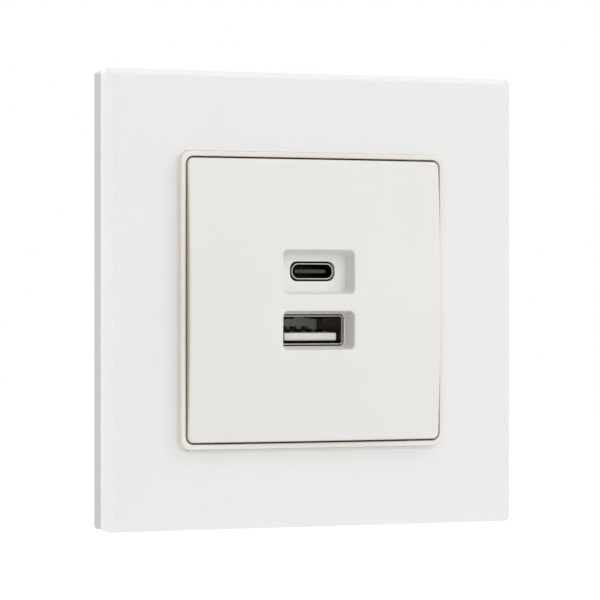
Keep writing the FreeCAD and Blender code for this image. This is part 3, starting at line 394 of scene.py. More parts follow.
@dataclass(frozen=True)
class ClearGlass:
    """Float glass that scatters some of the light in its depth and lets the rest through."""

    name: str = "clear_glass"
    colour: Colour = (0.865, 0.867, 0.857)
    clarity: float = 0.45
    cloud_per_metre: float = 12.0
    cloud_share: float = 0.002

    def build(self) -> bpy.types.Material:
        """Makes the material, which casts no shadow on the print behind it.

        Returns:
            The new material.
        """
        bench = Bench(self.name)
        cloud = bench.noise(self.cloud_per_metre, detail=1.0)
        dark = toned(self.colour, 1 - self.cloud_share)
        bench.tint(cloud, dark, self.colour)
        bench.set(Roughness=0.0, IOR=1.5, Transmission_Weight=self.clarity)
        clear = bench.node("BsdfTransparent")
        bench.by_ray(LIGHT_RAYS, bench.shader.outputs["BSDF"], clear.outputs["BSDF"])
        return bench.material


@dataclass(frozen=True)
class SolderMask:
    """Green lacquer of a circuit board, with copper runs that show through it."""

    name: str = "solder_mask"
    colour: Colour = (0.02, 0.12, 0.05)
    runs_per_metre: float = 260.0
    run_brightness: float = 1.8
    run_mm: float = 0.02

    def build(self) -> bpy.types.Material:
        """Makes the material.

        Returns:
            The new material.
        """
        bench = Bench(self.name)
        cells = bench.node("TexVoronoi", feature="DISTANCE_TO_EDGE")
        cells.inputs["Scale"].default_value = self.runs_per_metre
        bench.link(bench.coordinates(), cells.inputs["Vector"])
        runs = bench.spread(cells.outputs["Distance"], 0.0, 1.0)
        light = toned(self.colour, self.run_brightness)
        bench.tint(runs, self.colour, light)
        bench.bump(runs, self.run_mm, strength=0.5)
        bench.set(Roughness=0.3, Coat_Weight=0.3)
        return bench.material


WARM_WHITE: Colour = (0.80, 0.79, 0.762)
COOL_WHITE: Colour = (0.80, 0.80, 0.785)

# After its name and colour a moulding has its roughness, the depth of its grain in millimetres, the
# grain's waves in a metre and its mottling, a metal its roughness, the way it was worked, the
# streaks in a metre and their depth in millimetres.
FINISHES = {
    "ring": Moulding("ring_plastic", (0.83, 0.785, 0.74), 0.32, 0.006),
    "plate": Moulding("plate_plastic", WARM_WHITE, 0.42, 0.014),
    # Painted shade: a darker copy of the plate's plastic, on the windows' left and right walls.
    "wall_shade": Moulding("window_wall_painted_shade", (0.745, 0.728, 0.69), 0.45, 0.014),
    # Painted shade: a darker, browner copy of the plate's plastic, on the plate's outer side walls and the
    # ring's inner wall, for the shade in the gap between them.
    "gap_shade": Moulding("gap_painted_shade", (0.74, 0.655, 0.53), 0.5, 0.014),
    "cover": Moulding("cover_plastic", COOL_WHITE, 0.45, 0.012),
    "carrier": Moulding("carrier_plastic", (0.775, 0.745, 0.732), 0.5, 0.014),
    "housing": Moulding("housing_plastic", (0.42, 0.43, 0.44), 0.48, 0.02),
    "tape": Moulding("foam_tape", (0.75, 0.75, 0.72), 0.9, 0.05, 1500.0),
    "print": Moulding("glass_print_coat", (0.845, 0.847, 0.835), 0.6, 0.002),
    "steel": Metal("plated_steel", (0.62, 0.63, 0.65), 0.34, Axis.X),
    "screw": Metal("screw_steel", (0.55, 0.54, 0.52), 0.28, Axis.Z),
    # Painted shade: the port shells are a darkened copy of their metal, for the shade inside the ports;
    # their front rim takes a lighter copy, a painted highlight.
    "port": Metal("shell_painted_shade", (0.24, 0.21, 0.165), 0.32, Axis.Y),
    "rim_highlight": Metal("rim_painted_highlight", (0.62, 0.6, 0.56), 0.25, Axis.Y),
    "brass": Metal("brass_bar", (0.75, 0.52, 0.24), 0.26, Axis.Z),
    "gold": Metal("gold_contact", (0.83, 0.6, 0.27), 0.2, Axis.Y),
    "copper": Metal("copper_wire", (0.62, 0.28, 0.14), 0.28, Axis.X, 900.0),
    "solder": Metal("solder", (0.66, 0.66, 0.65), 0.25, Axis.X, 300.0, 0.01),
    # Painted shade: the ports' gold contacts are darkened nearly to black, for the shade inside the ports.
    "contact": Metal("contact_painted_shade", (0.16, 0.13, 0.09), 0.35, Axis.Y),
    "tongue": Moulding("white_insulator", (0.77, 0.775, 0.76), 0.5, 0.006),
    "dark": Moulding("dark_insulator", (0.027, 0.028, 0.029), 0.45, 0.006),
    "ferrite": Moulding("ferrite", (0.035, 0.035, 0.04), 0.6, 0.03, 1800.0, 0.2),
    "bobbin": Moulding("bobbin_plastic", (0.02, 0.02, 0.02), 0.5),
    "winding": Moulding("winding_tape", (0.72, 0.48, 0.07), 0.35, 0.01),
    "can": Moulding("can_sleeve", (0.02, 0.024, 0.05), 0.25, 0.004),
    "fuse": Moulding("fuse_block", (0.03, 0.018, 0.012), 0.4),
    "ceramic": Moulding("dipped_ceramic", (0.02, 0.09, 0.36), 0.22, 0.03, 400.0),
    "chip": Moulding("chip_resin", (0.025, 0.025, 0.027), 0.55, 0.01),
    "board": SolderMask(),
    "glass": ClearGlass(),
    "glass_edge": ClearGlass("polished_edge", (0.99, 0.995, 0.991), 1.0),
}

NODE_FINISH = {
    "glass_plate": "glass", "glass_adhesive": "tape", "frame_carrier": "carrier", "trim_ring": "ring",
    "centre_plate": "plate", "front_cover": "cover", "module_housing": "housing", "support_ring": "steel",
    "claw_left": "steel", "claw_right": "steel", "claw_screw_left": "screw", "claw_screw_right": "screw",
    "terminal_cage_live": "steel", "terminal_cage_neutral": "steel", "terminal_screw_live": "screw",
    "terminal_screw_neutral": "screw", "terminal_bar_live": "brass", "terminal_bar_neutral": "brass",
    "port_board": "board", "power_board": "board", "board_header": "bobbin", "board_pins": "gold",
    "usb_a_shell": "port", "usb_a_insulator": "tongue", "usb_a_contacts": "contact", "usb_c_shell": "port",
    "usb_c_insulator": "dark", "usb_c_contacts": "contact", "transformer_core": "ferrite",
    "transformer_bobbin": "bobbin", "transformer_winding": "winding", "input_capacitors": "can",
    "output_capacitors": "can", "mains_choke": "ferrite", "mains_fuse": "fuse", "y_capacitor": "ceramic",
    "bridge_rectifier": "chip", "optocoupler": "chip", "converter_chip": "chip",
    "rectifier_chip": "chip", "charge_chip": "chip",
}

# Nodes whose front rim takes a lighter copy of their metal, a painted highlight, while the rest of the shell
# is painted in shade.
RIM_HIGHLIGHT = {"usb_a_shell": ("rim_highlight",), "usb_c_shell": ("rim_highlight",)}

# Radius in millimetres of the rounds on the outer edges of each node.
SOFT_EDGES = {
    0.6: ("module_housing",),
    0.4: ("input_capacitors", "output_capacitors", "y_capacitor"),
    0.3: ("frame_carrier", "front_cover", "transformer_core", "transformer_bobbin",
          "transformer_winding"),
    0.2: ("claw_left", "claw_right", "mains_choke", "terminal_bar_live", "terminal_bar_neutral"),
    0.15: ("support_ring", "terminal_cage_live", "terminal_cage_neutral", "mains_fuse", "board_header",
           "usb_a_insulator", "bridge_rectifier", "optocoupler"),
    0.12: ("usb_c_insulator", "converter_chip", "rectifier_chip", "charge_chip"),
    0.14: ("usb_a_shell",),
    0.1: ("usb_c_shell",),
    0.08: ("board_pins", "usb_a_contacts", "port_board", "power_board"),
    0.02: ("usb_c_contacts",),
}


class Stock:
    """Materials made once and handed to each piece."""

    def __init__(self) -> None:
        """Starts with no material made."""
        self.made: dict[str, bpy.types.Material] = {}

    def get(self, key: str) -> bpy.types.Material:
        """Material of a finish.

        Args:
            key: name in FINISHES.

        Returns:
            The material, made on its first use.
        """
        if key not in self.made:
            self.made[key] = FINISHES[key].build()
        return self.made[key]


class Workshop:
    """Turns a bmesh in millimetres into a piece that rides on a body."""

    def __init__(self, frame: dict, stock: Stock) -> None:
        """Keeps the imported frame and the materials."""
        self.frame = frame
        self.stock = stock

    def piece(self, mesh: BMesh, name: str, finish: str, replaced: Iterable[str] = (),
              body: str = HOUSE, weighted: bool = True,
              extra: tuple[str, ...] = ()) -> bpy.types.Object:
        """Finishes a mesh as a piece of the object.

        Args:
            mesh: the mesh in millimetres, which is used up.
            name: name of the piece.
            finish: key of its finish.
            replaced: CAD nodes that it stands for.
            body: CAD body that it rides on.
            weighted: whether its flat faces keep flat shading beside rounded edges.
            extra: keys of the finishes of the faces whose material index is 1 and up.

        Returns:
            The piece.
        """
        bmesh.ops.remove_doubles(mesh, verts=mesh.verts, dist=MERGE)
        bmesh.ops.recalc_face_normals(mesh, faces=mesh.faces)
        bmesh.ops.transform(mesh, matrix=Matrix.Scale(MM, 4), verts=mesh.verts)
        for face in mesh.faces:
            face.smooth = True
        for edge in mesh.edges:
            edge.smooth = edge.calc_face_angle(math.pi) < math.radians(SMOOTH_BELOW)
        data = bpy.data.meshes.new(name)
        mesh.to_mesh(data)
        mesh.free()
        made = bpy.data.objects.new(name, data)
        bpy.context.scene.collection.objects.link(made)
        for key in (finish, *extra):
            data.materials.append(self.stock.get(key))
        if weighted:
            modifier = made.modifiers.new("even_shading", "WEIGHTED_NORMAL")
            modifier.keep_sharp = True
        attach(made, body)
        for node in replaced:
            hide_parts(node)
        LOG.info("%s: %d faces", name, len(data.polygons))
        return made

    def copy_of(self, node: str) -> BMesh:
        """Copy of a CAD node's mesh in millimetres, with its doubled points merged.

        Args:
            node: name of the CAD node.

        Returns:
            A new mesh.
        """
        mesh = bmesh.new()
        mesh.from_mesh(self.frame["nodes"][node].data)
        bmesh.ops.transform(mesh, matrix=Matrix.Scale(1 / MM, 4), verts=mesh.verts)
        bmesh.ops.remove_doubles(mesh, verts=mesh.verts, dist=CAD_MERGE)
        return mesh

    def body_of(self, node: str) -> str:
        """Name of the body that a CAD node rides on."""
        return self.frame["nodes"][node]["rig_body"]

    def soften(self, node: str, radius: float) -> None:
        """Rounds the outer edges of a copy of a CAD node, which it stands for.

        Args:
            node: name of the CAD node.
            radius: radius of the rounds in millimetres.
        """
        mesh = self.copy_of(node)
        bmesh.ops.dissolve_limit(mesh, angle_limit=math.radians(FLAT_BELOW), verts=mesh.verts,
                                 edges=mesh.edges)
        # On the port shells the rim's front faces take the painted highlight and the rest the painted shade.
        extra = RIM_HIGHLIGHT.get(node, ())
        if extra:
            front = min(vert.co.y for vert in mesh.verts)
            round_edges(mesh, rim_edges(mesh, front), radius, SOFT_SEGMENTS + 1)
            mesh.normal_update()
            for face in mesh.faces:
                level = face.calc_center_median().y
                face.material_index = int(face.normal.y < -RIM_NORMAL and level < front + radius)
        sharp = [e for e in mesh.edges if e.is_convex
                 and e.calc_face_angle(0.0) > math.radians(ROUND_ABOVE)]
        round_edges(mesh, sharp, radius, SOFT_SEGMENTS)
        self.piece(mesh, node + "_soft", NODE_FINISH[node], [node], body=self.body_of(node), extra=extra)

    def dress(self) -> None:
        """Gives every CAD node its finish."""
        for node, key in NODE_FINISH.items():
            found = self.frame["nodes"][node]
            found.data.materials.clear()
            found.data.materials.append(self.stock.get(key))
        LOG.info("dressed %d nodes", len(NODE_FINISH))


def slab(width: float, height: float, front: float, back: float, centre_z: float = 0.0,
         centre_x: float = 0.0) -> BMesh:
    """Straight slab along Y.

    Args:
        width: size along X.
        height: size along Z.
        front: lowest Y.
        back: highest Y.
        centre_z: middle along Z.
        centre_x: middle along X.

    Returns:
        A new mesh.
    """
    mesh = bmesh.new()
    bmesh.ops.create_cube(mesh, size=1.0)
    bmesh.ops.scale(mesh, vec=(width, back - front, height), verts=mesh.verts)
    bmesh.ops.translate(mesh, vec=(centre_x, (front + back) / 2, centre_z), verts=mesh.verts)
    return mesh


def round_edges(mesh: BMesh, edges: list[BMEdge], radius: float, segments: int) -> list[BMVert]:
    """Rounds edges with the bevel operator.

    Args:
        mesh: the mesh.
        edges: edges to round.
        radius: their radius.
        segments: faces across the round.

    Returns:
        The new vertices.
    """
    made = bmesh.ops.bevel(mesh, geom=edges, offset=radius, offset_type="OFFSET", segments=segments,
                           profile=0.5, affect="EDGES", clamp_overlap=True, material=-1)
    return made["verts"]


def edges_along_y(mesh: BMesh) -> list[BMEdge]:
    """Edges that run along Y.

    Args:
        mesh: the mesh.

    Returns:
        The edges found.
    """
    found = []
    for edge in mesh.edges:
        way = edge.verts[1].co - edge.verts[0].co
        if max(abs(way.x), abs(way.z)) < HAIR < abs(way.y):
            found.append(edge)
    return found


def cut_at(mesh: BMesh, axis: Point, places: Iterable[float]) -> None:
    """Cuts new edges where planes across an axis meet the mesh.

    Args:
        mesh: the mesh.
        axis: normal of the planes.
        places: their distances from the origin.
    """
    for place in places:
        bmesh.ops.bisect_plane(mesh, geom=mesh.verts[:] + mesh.edges[:] + mesh.faces[:], dist=SPECK,
                               plane_co=Vector(axis) * place, plane_no=axis)


def frame_sheet(outer: float, outer_radius: float, hole: float, hole_radius: float, front: float,
                back: float, segments: int = 8) -> BMesh:
    """Square sheet across Y with a square hole, both with rounded corners.

    Args:
        outer: side of the sheet.
        outer_radius: radius of its corners.
        hole: side of the hole.
        hole_radius: radius of the hole's corners.
        front: lowest Y.
        back: highest Y.
        segments: edges across each corner.

    Returns:
        A new closed mesh.
    """
    mesh = bmesh.new()
    for side, radius in ((outer, outer_radius), (hole, hole_radius)):
        made = bmesh.ops.create_grid(mesh, x_segments=1, y_segments=1, size=side / 2)
        bmesh.ops.bevel(mesh, geom=made["verts"], offset=radius, offset_type="OFFSET", segments=segments,
                        profile=0.5, affect="VERTICES", clamp_overlap=True, material=-1)
    bmesh.ops.delete(mesh, geom=mesh.faces[:], context="FACES_ONLY")
    bmesh.ops.bridge_loops(mesh, edges=mesh.edges[:])
    bmesh.ops.rotate(mesh, matrix=Matrix.Rotation(math.radians(90), 3, "X"), verts=mesh.verts)
    bmesh.ops.translate(mesh, vec=(0, back, 0), verts=mesh.verts)
    made = bmesh.ops.extrude_face_region(mesh, geom=mesh.faces[:])
    bmesh.ops.translate(mesh, vec=(0, front - back, 0), verts=only_verts(made["geom"]))
    return mesh


def only_verts(geometry: Iterable[object]) -> list[BMVert]:
    """Vertices among the parts that an operator made."""
    return [part for part in geometry if isinstance(part, BMVert)]


def square_reach(point: Vector) -> float:
    """Half the side of the square round the Y axis on whose outline a point lies."""
    return max(abs(point.x), abs(point.z))


def join_into(mesh: BMesh, part: BMesh) -> None:
    """Adds a mesh to another and frees it.

    Args:
        mesh: mesh that grows.
        part: mesh that is added.
    """
    data = bpy.data.meshes.new("part")
    part.to_mesh(data)
    part.free()
    mesh.from_mesh(data)
    bpy.data.meshes.remove(data)


def rim_edges(mesh: BMesh, level: float) -> list[BMEdge]:
    """Sharp edges that lie in the plane at one Y.

    Args:
        mesh: the mesh.
        level: Y of the plane.

    Returns:
        The edges found.
    """
    return [e for e in mesh.edges if e.calc_face_angle(0.0) > math.radians(RIM_ABOVE)
            and all(abs(v.co.y - level) < TOUCH for v in e.verts)]


@dataclass
class Window:
    """Opening in the centre plate in front of one port."""

    centre_z: float
    height: float
    width: float = 15.1
    radius: float = 1.0
    taper: float = 0.6

    @property
    def low(self) -> float:
        """Lower side."""
        return self.centre_z - self.height / 2

    @property
    def high(self) -> float:
        """Upper side."""
        return self.centre_z + self.height / 2

    def holds(self, point: Vector, slack: float = TOUCH) -> bool:
        """Whether a point lies in the opening or at most slack outside it."""
        return abs(point.x) < self.width / 2 + slack and self.low - slack < point.z < self.high + slack

    def has_corner_at(self, point: Vector) -> bool:
        """Whether a point lies in line with one of the opening's sharp corners."""
        beside = abs(abs(point.x) - self.width / 2) < TOUCH
        return beside and min(abs(point.z - self.low), abs(point.z - self.high)) < TOUCH

    def narrow(self, vert: BMVert) -> None:
        """Moves a vertex of the floor's outline inwards by the taper."""
        vert.co.x -= math.copysign(self.taper, vert.co.x)
        vert.co.z -= math.copysign(self.taper, vert.co.z - self.centre_z)


@dataclass
class CentrePlate:
    """Domed cream plate with two tapered port windows, rounded at every edge that a finger meets."""

    side: float = 53.3
    corner: float = 1.2
    edge_front: float = -7.3
    back: float = -3.8
    crown: float = 1.747
    wall: float = 0.9
    edge_round: float = 0.34
    window_round: float = 0.3
    floor: float = -6.07
    kept_level: float = 0.4
    margin: float = 5.0
    # Depth from the plate's edge of the band of side walls that take the painted shade.
    gap_shade_depth: float = 1.0
    slices: int = 40
    windows: tuple[Window, ...] = (
        Window(centre_z=5.33, height=8.34), Window(centre_z=-5.70, height=7.3))

    def rise(self, x: float, z: float) -> float:
        """How far the dome stands in front of the plate's corners at a place.

        Args:
            x: place along X.
            z: place along Z.

        Returns:
            The rise in millimetres.
        """
        reach = self.side / math.sqrt(2)
        radius = (reach * reach + self.crown * self.crown) / (2 * self.crown)
        return self.crown - (radius - math.sqrt(radius * radius - x * x - z * z))

    def blank(self) -> BMesh:
        """Makes the flat plate, open behind and where its windows go.

        Returns:
            The mesh.
        """
        mesh = slab(self.side, self.side, self.edge_front, self.back)
        round_edges(mesh, edges_along_y(mesh), self.corner, segments=8)
        cut_at(mesh, (1, 0, 0), (-self.windows[0].width / 2, self.windows[0].width / 2))
        cut_at(mesh, (0, 0, 1), [level for w in self.windows for level in (w.low, w.high)])
        front = [f for f in mesh.faces if f.normal.y < -FRONT_NORMAL and any(
            w.holds(f.calc_center_median(), -TOUCH) for w in self.windows)]
        back = [f for f in mesh.faces if f.normal.y > FRONT_NORMAL]
        bmesh.ops.delete(mesh, geom=front + back, context="FACES")
        return mesh

    def sink_windows(self, mesh: BMesh) -> None:
        """Draws the windows' walls down to their floor and rounds their corners.

        Args:
            mesh: the flat plate.
        """
        rims = [e for e in mesh.edges if e.is_boundary and e.verts[0].co.y < self.edge_front + TOUCH]
        made = bmesh.ops.extrude_edge_only(mesh, edges=rims)
        depth = self.floor - self.edge_front
        bmesh.ops.translate(mesh, vec=(0, depth, 0), verts=only_verts(made["geom"]))
        corners = [e for e in edges_along_y(mesh) if any(
            w.has_corner_at(e.verts[0].co) for w in self.windows)]
        round_edges(mesh, corners, self.windows[0].radius, segments=6)

    def round_rims(self, mesh: BMesh) -> None:
        """Rounds the front edges of the windows and of the plate.

        Args:
            mesh: the plate with its windows.
        """
        inside = self.side / 2 - self.margin
        rims = rim_edges(mesh, self.edge_front)
        inner = [e for e in rims if square_reach(e.verts[0].co) < inside]
        outer = [e for e in rims if e not in set(inner)]
        round_edges(mesh, inner, self.window_round, segments=4)
        round_edges(mesh, [e for e in outer if e.is_valid], self.edge_round, segments=5)

    def taper_windows(self, mesh: BMesh) -> None:
        """Narrows each window's floor to its port.

        Args:
            mesh: the plate with its windows.
        """
        for window in self.windows:
            for vert in mesh.verts:
                if abs(vert.co.y - self.floor) < TOUCH and window.holds(vert.co):
                    window.narrow(vert)

    def raise_dome(self, mesh: BMesh) -> None:
        """Slices the plate and lifts it to the dome, but not what is kept level at its windows' floor.

        Args:
            mesh: the flat plate.
        """
        step = self.side / self.slices
        places = [step * index - self.side / 2 for index in range(1, self.slices)]
        cut_at(mesh, (0, 0, 1), places)
        cut_at(mesh, (1, 0, 0), places)
        for vert in mesh.verts:
            if vert.co.y < self.floor - self.kept_level:
                vert.co.y -= self.rise(vert.co.x, vert.co.z)

    def colour_walls(self, mesh: BMesh) -> None:
        """Paints shade on the plate's outer side walls and on the windows' left and right walls, as darker
        copies of its plastic.

        Args:
            mesh: the finished plate.
        """
        mesh.normal_update()
        walls = [face for face in mesh.faces if abs(face.normal.y) < WALL_NORMAL]
        for face in walls:
            # Painted shade: side walls within that depth of the plate's edge take the darker, browner copy.
            if square_reach(face.calc_center_median()) > self.side / 2 - self.gap_shade_depth:
                face.material_index = 1
            # Painted shade: the windows' left and right walls take the darker copy.
            elif abs(face.normal.x) > SIDE_NORMAL:
                face.material_index = 2

    def build(self, shop: Workshop) -> None:
        """Makes the plate's piece.

        Args:
            shop: workshop that finishes it.
        """
        mesh = self.blank()
        self.sink_windows(mesh)
        self.round_rims(mesh)
        self.taper_windows(mesh)
        self.raise_dome(mesh)
        self.colour_walls(mesh)
        made = shop.piece(mesh, "plate_shell", "plate", ["centre_plate"],
                          weighted=False, extra=("gap_shade", "wall_shade"))
        thick = made.modifiers.new("wall", "SOLIDIFY")
        thick.thickness = self.wall * MM
        thick.offset = -1.0
        even = made.modifiers.new("even_shading", "WEIGHTED_NORMAL")
        even.keep_sharp = True


@dataclass
class TrimRing:
    """Square ring between the glass and the centre plate."""

    side: float = 56.0
    corner: float = 2.0
    inner_corner: float = 1.55
    wall: float = 1.0
    front: float = -7.1
    back: float = -1.0
    edge_round: float = 0.2

    def build(self, shop: Workshop) -> None:
        """Makes the ring's piece.

        Args:
            shop: workshop that finishes it.
        """
        hole = self.side - 2 * self.wall
        mesh = frame_sheet(self.side, self.corner, hole, self.inner_corner, self.front, self.back)
        round_edges(mesh, rim_edges(mesh, self.front), self.edge_round, segments=4)
        mesh.normal_update()
        # Painted shade: the ring's inner wall, beside the gap to the plate, takes the darker, browner copy
        # of the plastic.
        for face in mesh.faces:
            inner = square_reach(face.calc_center_median()) < (self.side - self.wall) / 2
            face.material_index = int(inner and abs(face.normal.y) < WALL_NORMAL)
        shop.piece(mesh, "ring_frame", "ring", ["trim_ring"], extra=("gap_shade",))


@dataclass
class GlassPlate:
    """Square glass with a polished bevel, a soft arris at its hole and white print on its rear."""

    side: float = 86.0
    corner: float = 1.1
    hole: float = 56.16
    hole_corner: float = 2.08
    front: float = -6.5
    back: float = -4.0
    bevel_width: float = 1.3
    bevel_depth: float = 0.4
    arris: float = 0.5
    bevel_round: float = 0.06
    margin: float = 1.0

    def build(self, shop: Workshop) -> None:
        """Makes the glass and its print as one piece.

        Args:
            shop: workshop that finishes it.
        """
        mesh = frame_sheet(self.side, self.corner, self.hole, self.hole_corner, self.front, self.back)
        edge = self.side / 2 - self.margin
        rims = rim_edges(mesh, self.front)
        outer = [e for e in rims if square_reach(e.verts[0].co) > edge]
        inner = [e for e in rims if e not in set(outer)]
        round_edges(mesh, inner, self.arris, segments=1)
        round_edges(mesh, [e for e in outer if e.is_valid], self.bevel_depth, segments=1)
        shrink = 1 - (self.bevel_width - self.bevel_depth) / (self.side / 2)
        for vert in mesh.verts:
            if abs(vert.co.y - self.front) < TOUCH and square_reach(vert.co) > edge:
                vert.co.x *= shrink
                vert.co.z *= shrink
        round_edges(mesh, rim_edges(mesh, self.front + self.bevel_depth), self.bevel_round, segments=2)
        mesh.normal_update()
        for face in mesh.faces:
            if all(vert.co.y > self.back - TOUCH for vert in face.verts):
                face.material_index = 1
            elif abs(face.normal.y) < FLAT_NORMAL:
                face.material_index = 2
        shop.piece(mesh, "glass_pane", "glass", ["glass_plate"],
                   extra=("print", "glass_edge"))


@dataclass
class ScrewThread:
    """Coarse machine thread cut into the plain shank of one screw's CAD mesh.

    The shank's points are those between the core and the crest, with some slack. The ridge's foot
    sinks a little into the root.
    """

    node: str
    x: float
    z: float
    start: float
    end: float
    tip: float
    root: float = 1.16
    crest: float = 1.45
    pitch: float = 0.5
    foot_share: float = 0.46
    crest_share: float = 0.06
    sink: float = 0.04
    steps: int = 28
    chamfer: float = 0.35
    core: float = 1.0
    slack: float = 0.02

    def away(self, vert: BMVert) -> Vector:
        """Way from the screw's axis to a vertex, as X and Z."""
        return Vector((vert.co.x - self.x, vert.co.z - self.z))

    def place(self, vert: BMVert, away: Vector, radius: float) -> None:
        """Moves a vertex to a radius round the screw's axis."""
        vert.co.x = self.x + away.x * radius / away.length
        vert.co.z = self.z + away.y * radius / away.length

    def neck(self, mesh: BMesh) -> None:
        """Turns the shank down to the root of the thread between its start and its tip.

        Args:
            mesh: the screw in millimetres.
        """
        low, high = sorted((self.start, self.tip))
        cut_at(mesh, (0, 1, 0), (self.start,))
        for vert in mesh.verts:
            away = self.away(vert)
            along = low - FINE < vert.co.y < high + FINE
            if along and self.core < away.length < self.crest + self.slack:
                at_tip = abs(vert.co.y - self.tip) < FINE
                self.place(vert, away, self.root - self.chamfer if at_tip else self.root)

    def ridge(self) -> BMesh:
        """Winds the thread's ridge, which runs out at both ends.

        Returns:
            The closed ridge.
        """
        way = 1 if self.end > self.start else -1
        turns = abs(self.end - self.start) / self.pitch
        mesh = bmesh.new()
        foot = self.root - self.sink
        half = self.pitch * self.foot_share
        flat = self.pitch * self.crest_share
        outline = ((foot, -half), (self.crest, -flat), (self.crest, flat), (foot, half))
        mesh.faces.new([mesh.verts.new((self.x + reach, self.start + place, self.z))
                        for reach, place in outline])
        bmesh.ops.spin(mesh, geom=mesh.verts[:] + mesh.edges[:] + mesh.faces[:],
                       cent=(self.x, self.start, self.z), axis=(0, -1, 0),
                       dvec=(0, way * self.pitch / self.steps, 0), angle=math.tau * turns,
                       steps=int(self.steps * turns))
        low, high = sorted((self.start, self.end))
        for vert in mesh.verts:
            away = self.away(vert)
            share = max(0.0, min(1.0, (vert.co.y - low) / self.pitch, (high - vert.co.y) / self.pitch))
            self.place(vert, away, min(away.length, foot + share * (self.crest - foot)))
        return mesh

    def build(self, shop: Workshop) -> None:
        """Makes the threaded screw that stands for the plain one.

        Args:
            shop: workshop that finishes it.
        """
        mesh = shop.copy_of(self.node)
        self.neck(mesh)
        join_into(mesh, self.ridge())
        shop.piece(mesh, self.node + "_threaded", "screw", [self.node], body=shop.body_of(self.node))


@dataclass
class ChokeWire:
    """Copper turns round the waist of the mains choke."""

    x: float = -3.2
    z: float = -2.6
    start: float = 19.25
    wire: float = 0.5
    gap: float = 0.02
    turns: int = 10
    side: float = 5.9
    corner: float = 1.0
    round_share: float = 0.4

    def build(self, shop: Workshop) -> None:
        """Makes all turns as one piece.

        Args:
            shop: workshop that finishes it.
        """
        mesh = bmesh.new()
        for turn in range(self.turns):
            front = self.start + (turn - 0.5) * self.wire + self.gap / 2
            back = front + self.wire - self.gap
            loop = slab(self.side, self.side, front, back, self.z, self.x)
            round_edges(loop, edges_along_y(loop), self.corner, segments=4)
            rims = rim_edges(loop, front) + rim_edges(loop, back)
            round_edges(loop, rims, self.wire * self.round_share, segments=3)
            join_into(mesh, loop)
        shop.piece(mesh, "choke_wire", "copper", weighted=False)


@dataclass
class SolderJoints:
    """Solder fillets round every lead that comes through a board.

    The header's pins stand in one row, and each of the other leads has its x and z.
    """

    header_x: tuple[float, ...] = (0.32, 2.86, 5.4, 7.94, 10.48)
    header_z: float = 18.2
    board_back: float = 26.6
    port_front: float = 8.6
    leads: tuple[tuple[float, float], ...] = (
        (-14.5, 12.2), (-9.5, 12.2), (-14.5, 3.9), (-9.5, 3.9), (13.6, 1.2), (15.6, 1.2),
        (-5.4, -2.6), (-1.0, -2.6), (-14.6, -4.2), (-9.0, -4.2), (3.9, 1.2), (8.1, 1.2),
        (2.2, 5.0), (4.4, 5.0), (6.8, 5.0), (9.0, 5.0), (2.2, 13.8), (4.4, 13.8), (6.8, 13.8), (9.0, 13.8))
    width: float = 1.7
    depth: float = 0.6
    sink: float = 0.02

    def fillet(self, mesh: BMesh, x: float, y: float, z: float, way: float) -> None:
        """Adds one fillet: a cone with its foot a little inside the board.

        Args:
            mesh: mesh that it joins.
            x: place along X.
            y: face of the board.
            z: place along Z.
            way: 1 where the fillet stands on a rear face, -1 on a front face.
        """
        cone = bmesh.new()
        bmesh.ops.create_cone(cone, cap_ends=True, segments=20, radius1=self.width / 2,
                              radius2=self.width / 4, depth=self.depth)
        bmesh.ops.rotate(cone, matrix=Matrix.Rotation(math.radians(-90 * way), 3, "X"), verts=cone.verts)
        top = [e for e in cone.edges if all(v.co.y * way > 0 for v in e.verts)]
        round_edges(cone, top, self.width / 8, segments=3)
        bmesh.ops.translate(cone, vec=(x, y + way * (self.depth / 2 - self.sink), z), verts=cone.verts)
        join_into(mesh, cone)

    def build(self, shop: Workshop) -> None:
        """Makes the fillets of each board as a piece.

        Args:
            shop: workshop that finishes it.
        """
        rear = bmesh.new()
        front = bmesh.new()
        for x in self.header_x:
            self.fillet(rear, x, self.board_back, self.header_z, 1)
            self.fillet(front, x, self.port_front, self.header_z, -1)
        for x, z in self.leads:
            self.fillet(rear, x, self.board_back, z, 1)
        shop.piece(rear, "power_solder", "solder", weighted=False)
        shop.piece(front, "port_solder", "solder", weighted=False)


